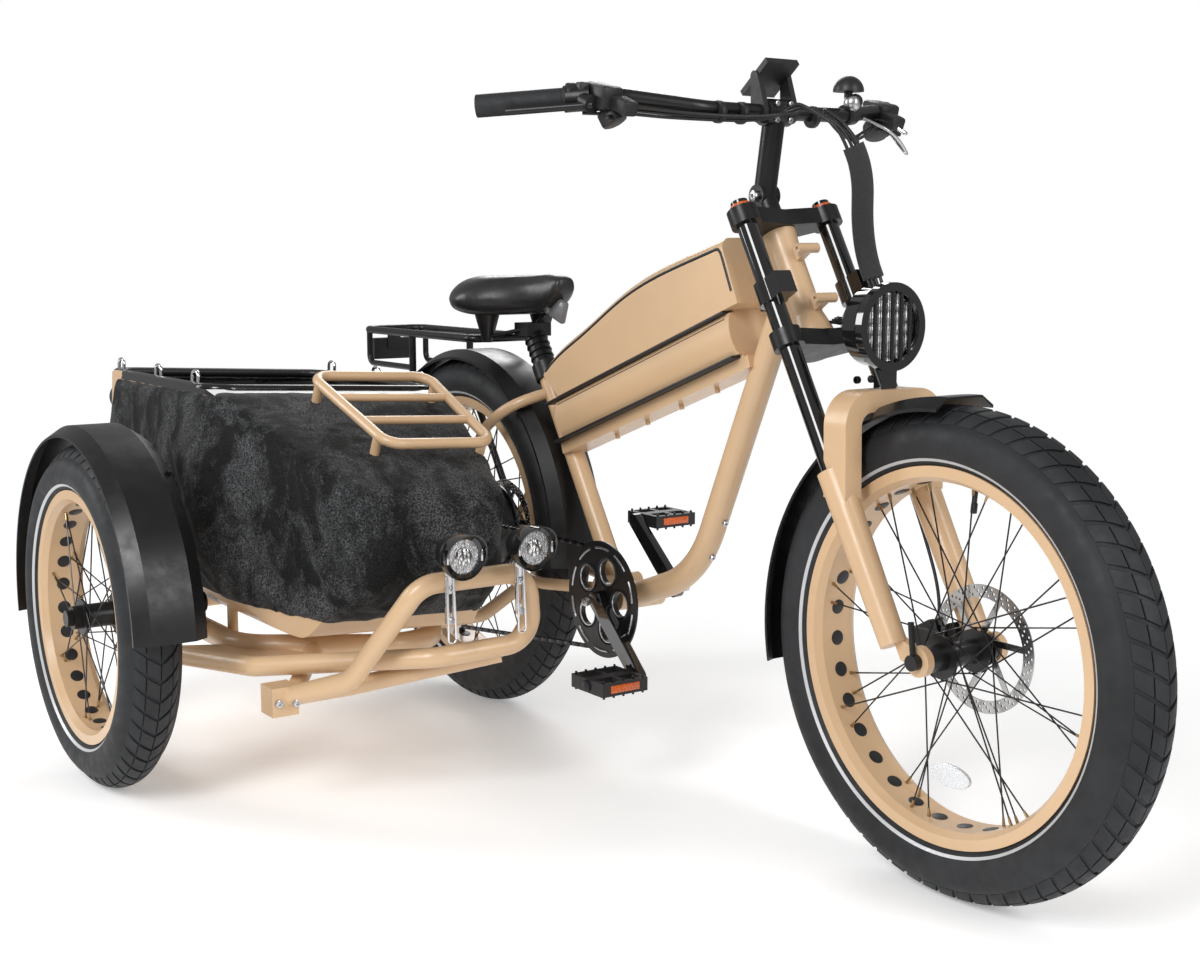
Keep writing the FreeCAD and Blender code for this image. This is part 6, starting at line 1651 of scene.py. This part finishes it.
def switch_pods():
    """The throttle, gear and brake housings beside the grips."""
    for side, name in ((-1, "right"), (1, "left")):
        pieces = [slab(name + part, on_half(corner, side), size, Vector(way), edge)
                  for part, corner, size, way, edge in pod_blocks]
        pieces += [rod(name + part, on_half(start, side), on_half(end, side), *shape)
                   for part, start, end, *shape in pod_rods]
        dressed(union(name + "_controls", pieces), "steering", "black_plastic")
    way = Vector((0.6, 0.2, 1))
    blade = slab("bright_lever", bike(846, 262, 1078), (0.010, 0.052, 0.006), way, edge=0.0022)
    dressed(blade, "steering", "chrome")


ball_radius = 0.0135
ball_offset = (0.012, -0.004, 0.034)
centre_gap = 1.0e-5


def bell_ball():
    """The bright ball below the horn's black cap."""
    low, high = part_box("bell")
    ahead, aside, up = ball_offset
    centre = Vector(((low.x + high.x) / 2 + ahead, (low.y + high.y) / 2 + aside, low.z + up))
    angles = [math.pi * index / 18 for index in range(19)]
    outline = [(ball_radius * math.cos(angle), ball_radius * math.sin(angle) + centre_gap)
               for angle in angles]
    dressed(lathe("bell_ball", outline, centre, up_way, steps=36), "steering", "chrome", "steel")


def stem_bolts():
    """Bright bolts at the stem's pivot and at the bar clamp."""
    spots = [(on_head(238.9, 0, side * 17.4), side_way * side) for side in (-1, 1)]
    bolts("pivot_bolts", "steering", spots, "chrome", radius=0.0085, finish="steel")
    clamp = [(bike(880.2, side, 1086 + rise), ahead_way) for side in (-13, 13) for rise in (-12, 12)]
    bolts("clamp_bolts", "steering", clamp, "chrome", radius=0.0042, finish="steel")


cap_foot, cap_top = 199.6, 205.6
cap_ahead = 26
leg_side = 80
cap_radius = 0.0162


def fork_caps():
    """Orange adjuster rings on the two stanchions."""
    rings = []
    for side in (-leg_side, leg_side):
        ends = [on_head(along, cap_ahead, side) for along in (cap_foot, cap_top)]
        rings.append(rod("cap_ring", *ends, cap_radius, sides=36, edge=0.0012))
    dressed(union("adjuster_rings", rings), "steering", "lens", "orange")


# Outlines of turned parts: (along the axis, outward from an edge).
headlight_bezel_rows = ((-0.002, -0.002), (0.004, -0.002), (0.004, 0.006), (-0.002, 0.009))
hood_rows = ((-0.004, 0.0030), (0.0035, 0.0030), (0.016, 0.0030), (0.016, 0.0052), (0.0035, 0.0058),
             (-0.004, 0.0052))
bezel_rows = ((-0.002, -0.0050), (0.003, -0.0045), (0.004, 0.0032), (-0.002, 0.0032))
lamp_middle_rows = ((-0.001, 0.0002), (0.0035, 0.0002), (0.0042, 0.007), (0.0024, 0.0135), (-0.001, 0.0145))
window_rows = ((0.0005, 0.0204), (-0.0009, 0.0212), (-0.0009, 0.0226), (0.0005, 0.0232))
collar_rows = ((0.0005, 0.0232), (-0.0014, 0.0234), (-0.0026, 0.0252), (0.0005, 0.0268))


def turned(name, rows, edge, centre, way, steps):
    """A turned part whose outline is measured outward from an edge."""
    return lathe(name, [(along, edge + out) for along, out in rows], centre, way, steps)


bowl_back = 0.0036
bowl_gap = 0.0006


def headlight_inside():
    """The bright bowl behind the headlight's glass."""
    low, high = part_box("headlight_glass")
    centre = (low + high) / 2
    radius = (high.z - low.z) / 2 - bowl_gap
    outline = [(-0.0035, 0.0001), (-0.0035, radius), (-0.0030, radius), (-0.0028, 0.0001)]
    back = Vector((low.x + bowl_back, centre.y, centre.z))
    bowl = lathe("headlight_bowl", outline, back, ahead_way, steps=64)
    dressed(bowl, "steering", "chrome", "lamp_mirror")


def headlight_trim():
    """The bezel of the headlight and the bolts of its bracket."""
    low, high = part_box("headlight_glass")
    centre = (low + high) / 2
    face = Vector((high.x, centre.y, centre.z))
    edge = (high.z - low.z) / 2
    bezel = turned("headlight_bezel", headlight_bezel_rows, edge, face, ahead_way, steps=72)
    dressed(bezel, "steering", "black_plastic", "gloss_black")
    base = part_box("headlight")[0]
    foot = Vector((base.x + 0.018, centre.y, base.z + 0.010))
    spots = [(foot + side_way * (0.0125 * side), side_way * side) for side in (-1, 1)]
    bolts("headlight_bolt", "steering", spots, "dark_steel", radius=0.0055)


hood_bend_start = 0.010
hood_lift = 0.010
hood_back = 0.006
clip_size = (0.005, 0.004, 0.018)
bracket_face = 0.0012
bracket_bolt_heights = (0.322, 0.372)
# Corners of a lamp's wire from one end to its lowest part: ahead of the bracket, to the side, height.
wire_corners = ((0.002, 0.0055, 0.392), (0.006, 0.0065, 0.300), (0.006, 0.0065, 0.290))
wire_radius = 0.0018


def lamp_spots():
    """The middles of the two bullet lamps' faces, and their radius."""
    low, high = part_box("lamp_glasses")
    radius = (high.z - low.z) / 2
    return [Vector((high.x, side, low.z + radius)) for side in (low.y + radius, high.y - radius)], radius


def lamp_hood(spot, radius):
    """A bullet lamp's hood, longer at its top than at its foot."""
    hood = turned("hood", hood_rows, radius, spot, ahead_way, steps=64)
    for vertex in hood.data.vertices:
        if vertex.co.x > spot.x + hood_bend_start:
            vertex.co.x += hood_lift * (vertex.co.z - spot.z) / radius - hood_back
    return hood


def lamp_wire(spot, clamp_x):
    """The wire that hangs in a loop below a bullet lamp."""
    corners = [(ahead, -side, height) for ahead, side, height in wire_corners] + list(reversed(wire_corners))
    line = [Vector((clamp_x + ahead, spot.y + side, height)) for ahead, side, height in corners]
    return hose("wire", line, wire_radius, steps=6)


def bullet_trim():
    """Hood, bezel, side clips, bright middle, bracket bolts and hanging wire of each bullet lamp."""
    spots, radius = lamp_spots()
    clamp_x = middle_of("lamp_brackets").x + bracket_face
    hoods, clips, centres, heads, wires = [], [], [], [], []
    for spot in spots:
        hoods.append(lamp_hood(spot, radius))
        hoods.append(turned("bezel", bezel_rows, radius, spot, ahead_way, steps=64))
        for side in (-1, 1):
            middle = spot + side_way * (side * (radius - 0.001)) + ahead_way * 0.004
            clips.append(slab("clip", middle, clip_size, edge=0.0012))
        centres.append(lathe("centre", lamp_middle_rows, spot, ahead_way, steps=40))
        heads += [(Vector((clamp_x, spot.y, height)), ahead_way) for height in bracket_bolt_heights]
        wires.append(lamp_wire(spot, clamp_x))
    dressed(union("lamp_hoods", hoods), "frame", "black_plastic", "gloss_black")
    dressed(union("lamp_clips", clips), "frame", "chrome")
    dressed(union("lamp_middles", centres), "frame", "chrome", "lamp_facets")
    bolts("bracket_bolts", "frame", heads, "chrome", radius=0.0046, finish="steel")
    dressed(union("lamp_wires", wires), "frame", "chrome")


def struck(node, origin, way):
    """Where a ray meets a CAD piece and which way the surface faces there, or nothing."""
    hit, place, normal = frame["nodes"][node].ray_cast(origin, way)[:3]
    return (place, normal.copy()) if hit else None


def surface_line(name, node, starts, way, radius, sink):
    """A bead sunk a little into a CAD piece's surface under a row of rays."""
    found = [struck(node, start, way) for start in starts]
    return hose(name, [spot[0] - spot[1] * sink for spot in found if spot], radius)


crest_steps = 60
crest_start, crest_end = 8, 6
crest_below = 15
under_steps = 20
under_start, under_length, under_up = 4, 520, 83
ray_side = 200
ray_height = 1400


def tank_lines():
    """Dark lines along the tank's crest and the battery's foot, on both sides."""
    low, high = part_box("tank_shell")
    start = (low.x - rear_axle.x) / mm + crest_start
    end = (high.x - rear_axle.x) / mm - crest_end
    places = [start + (end - start) * index / crest_steps for index in range(crest_steps + 1)]
    tops = [(ahead, struck("tank_shell", bike(ahead, 0, ray_height), -up_way)) for ahead in places]
    tops = [(ahead, spot[0].z / mm) for ahead, spot in tops if spot and ahead < end - crest_end]
    alongs = [under_start + under_length * index / under_steps for index in range(under_steps + 1)]
    lines = []
    for side in (-1, 1):
        crest = [bike(ahead, side * ray_side, height - crest_below) for ahead, height in tops]
        inward = side_way * -side
        lines.append(surface_line("crest", "tank_shell", crest, inward, radius=0.0030, sink=0.0012))
        under = [raked(along, under_up, side * ray_side) for along in alongs]
        lines.append(surface_line("under", "battery", under, inward, radius=0.0011, sink=0.0006))
    dressed(union("tank_lines", lines), "frame", "black_plastic")


guard_start = -36.5
window_count = 5
window_out = 0.052
slot_count = 10
slot_out = 0.0885
slot_half = math.radians(12)
slot_radius = 0.0021


def on_guard(angle, out, side):
    """A point of the chain guard's face, by its angle and distance from the crank's axle."""
    return Vector((crank_axle.x + out * math.cos(angle), side, crank_axle.z + out * math.sin(angle)))


def guard_angles(count):
    """Angles evenly spread round the guard, half a step after its start."""
    return [math.radians(guard_start + 360 / count * (index + 0.5)) for index in range(count)]


def guard_trim():
    """Bright edges of the chain guard's windows and the arc slots near its rim."""
    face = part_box("chainring")[0].y
    edges, collars = [], []
    for angle in guard_angles(window_count):
        middle = on_guard(angle, window_out, face)
        edges.append(lathe("window", window_rows, middle, side_way, steps=40))
        collars.append(lathe("collar", collar_rows, middle, side_way, steps=40))
    for angle in guard_angles(slot_count):
        spread = [angle + slot_half * (step / 4 - 1) for step in range(9)]
        arc = [on_guard(place, slot_out, face - 0.0002) for place in spread]
        edges.append(hose("slot", arc, slot_radius))
    dressed(union("guard_edges", edges), "crank", "chrome", "steel")
    dressed(union("guard_collars", collars), "crank", "black_paint")


block_shift = 0.003
reflector_ahead = 0.0438
reflector_size = (0.0030, 0.056, 0.0125)
pin_ahead, pin_step, pin_foot = 0.039, 0.019, 0.0105
pin_length, pin_radius = 0.0045, 0.0021
pins_in_row = 5
cap_start, cap_end = 0.042, 0.0475


def pedal_pin(block, end, row, face):
    """One pin of a pedal: end of the pedal, row along it, and upper or lower face."""
    aside = (row - (pins_in_row - 1) / 2) * pin_step
    foot = block + Vector((end * pin_ahead, aside, face * pin_foot))
    return rod("pin", foot, foot + up_way * (face * pin_length), pin_radius, sides=10, edge=0.0005)


def pedal_trim():
    """Orange reflectors, pins and end caps of the pedals."""
    for name, away in (("pedal_right", -1), ("pedal_left", 1)):
        block = middle_of(name) + side_way * (away * block_shift)
        plates = [slab("reflector", block + ahead_way * (end * reflector_ahead), reflector_size, edge=0.001)
                  for end in (-1, 1)]
        dressed(union(name + "_reflectors", plates), name, "lens", "orange")
        pins = [pedal_pin(block, end, row, face) for end in (-1, 1) for row in range(pins_in_row)
                for face in (-1, 1)]
        ends = [block + side_way * (away * out) for out in (cap_start, cap_end)]
        pins.append(rod("cap", *ends, radius=0.010, edge=0.0015))
        dressed(union(name + "_pins", pins), name, "dark_steel")


crank_edge = 0.0045


def crank_arms():
    """The crank arms with rounded edges and their bright axle bolts."""
    arms = softened(cad_copy("crankset", "forged_cranks"), crank_edge, segments=3)
    dressed(arms, "crank", "black_paint", "gloss_black", stands_for=("crankset",))
    low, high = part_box("crankset")
    spots = [(Vector((crank_axle.x, side, crank_axle.z)), way)
             for side, way in ((low.y + 0.0002, -side_way), (high.y - 0.0002, side_way))]
    bolts("crank_bolts", "crank", spots, "chrome", radius=0.0075, finish="steel")


def saddle_trim():
    """The grey reflector under the saddle's nose."""
    low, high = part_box("saddle")
    middle = Vector((high.x - 0.030, rear_axle.y, low.z + 0.006))
    plate = slab("nose_reflector", middle, (0.012, 0.046, 0.042), Vector((0.35, 0, 1)), edge=0.005)
    dressed(plate, "frame", "lens", "grey_reflector")


shoe_bolt_half = 0.012
shoe_bolt_height = 0.022
shoe_foot = 0.004
ray_ahead = 0.3


def bumper_bolts():
    """Two bright bolts on the bumper's shoe."""
    low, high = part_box("bumper")
    middle = shoe_side(low)
    starts = [Vector((high.x + ray_ahead, middle + side, low.z + shoe_bolt_height))
              for side in (-shoe_bolt_half, shoe_bolt_half)]
    found = [struck("bumper", start, -ahead_way) for start in starts]
    spots = [(spot[0] - spot[1] * 0.0003, ahead_way) for spot in found if spot]
    if spots:
        bolts("shoe_bolts", "frame", spots, "chrome", radius=0.0062, finish="steel")


def shoe_side(low):
    """How far to the side the bumper's shoe stands."""
    mesh = frame["nodes"]["bumper"].data
    sides = [vertex.co.y for vertex in mesh.vertices if vertex.co.z < low.z + shoe_foot]
    return sum(sides) / len(sides)


boss_heights = (0.392, 0.452)


def bottle_bosses():
    """Two bright screws on the front of the down tube's lower half."""
    starts = [Vector((front_axle.x, rear_axle.y, height)) for height in boss_heights]
    found = [struck("main_frame", start, -ahead_way) for start in starts]
    spots = [spot for spot in found if spot]
    bolts("bottle_screws", "frame", spots, "chrome", radius=0.0055, finish="steel")


small_parts = (frame_seams, tank_lines, bumper_bolts, bottle_bosses, headlight_inside, headlight_trim,
               bullet_trim, flat_sleeve, cables, pale_cable, cable_clips, switch_pods, bell_ball, stem_bolts,
               fork_caps, guard_trim, crank_arms, pedal_trim, saddle_trim)


class BikePanel(bpy.types.Panel):
    """Buttons and sizes of the dressing."""
    bl_idname = "SIDECARBIKE_PT_dressing"
    bl_label = "Sidecar bicycle"
    bl_space_type = "VIEW_3D"
    bl_region_type = "UI"
    bl_category = "Sidecar bicycle"

    def draw(self, context):
        for group in settings_groups:
            values = getattr(context.scene, group)
            for key in values.__annotations__:
                self.layout.prop(values, key)
        for maker in makers:
            self.layout.operator(maker.bl_idname)


settings_groups = {
    "wheel_sizes": WheelSizes,
    "cover_sizes": CoverSizes,
    "paint_colours": PaintColours,
    "stage_sizes": StageSizes,
}
makers = (NodeFinisher, StageMaker, TyreMaker, WheelTrimMaker, ChainMaker, SaddleMaker, CoverMaker,
          SmallPartsMaker)


def register():
    for group in settings_groups.values():
        bpy.utils.register_class(group)
    for name, group in settings_groups.items():
        setattr(bpy.types.Scene, name, bpy.props.PointerProperty(type=group))
    for maker in makers:
        bpy.utils.register_class(maker)
    bpy.utils.register_class(BikePanel)


def unregister():
    bpy.utils.unregister_class(BikePanel)
    for maker in reversed(makers):
        bpy.utils.unregister_class(maker)
    for name in settings_groups:
        delattr(bpy.types.Scene, name)
    for group in reversed(list(settings_groups.values())):
        bpy.utils.unregister_class(group)


def main():
    register()
    for maker in makers:
        package, command = maker.bl_idname.split(".")
        getattr(getattr(bpy.ops, package), command)()


if __name__ == "__main__":
    main()
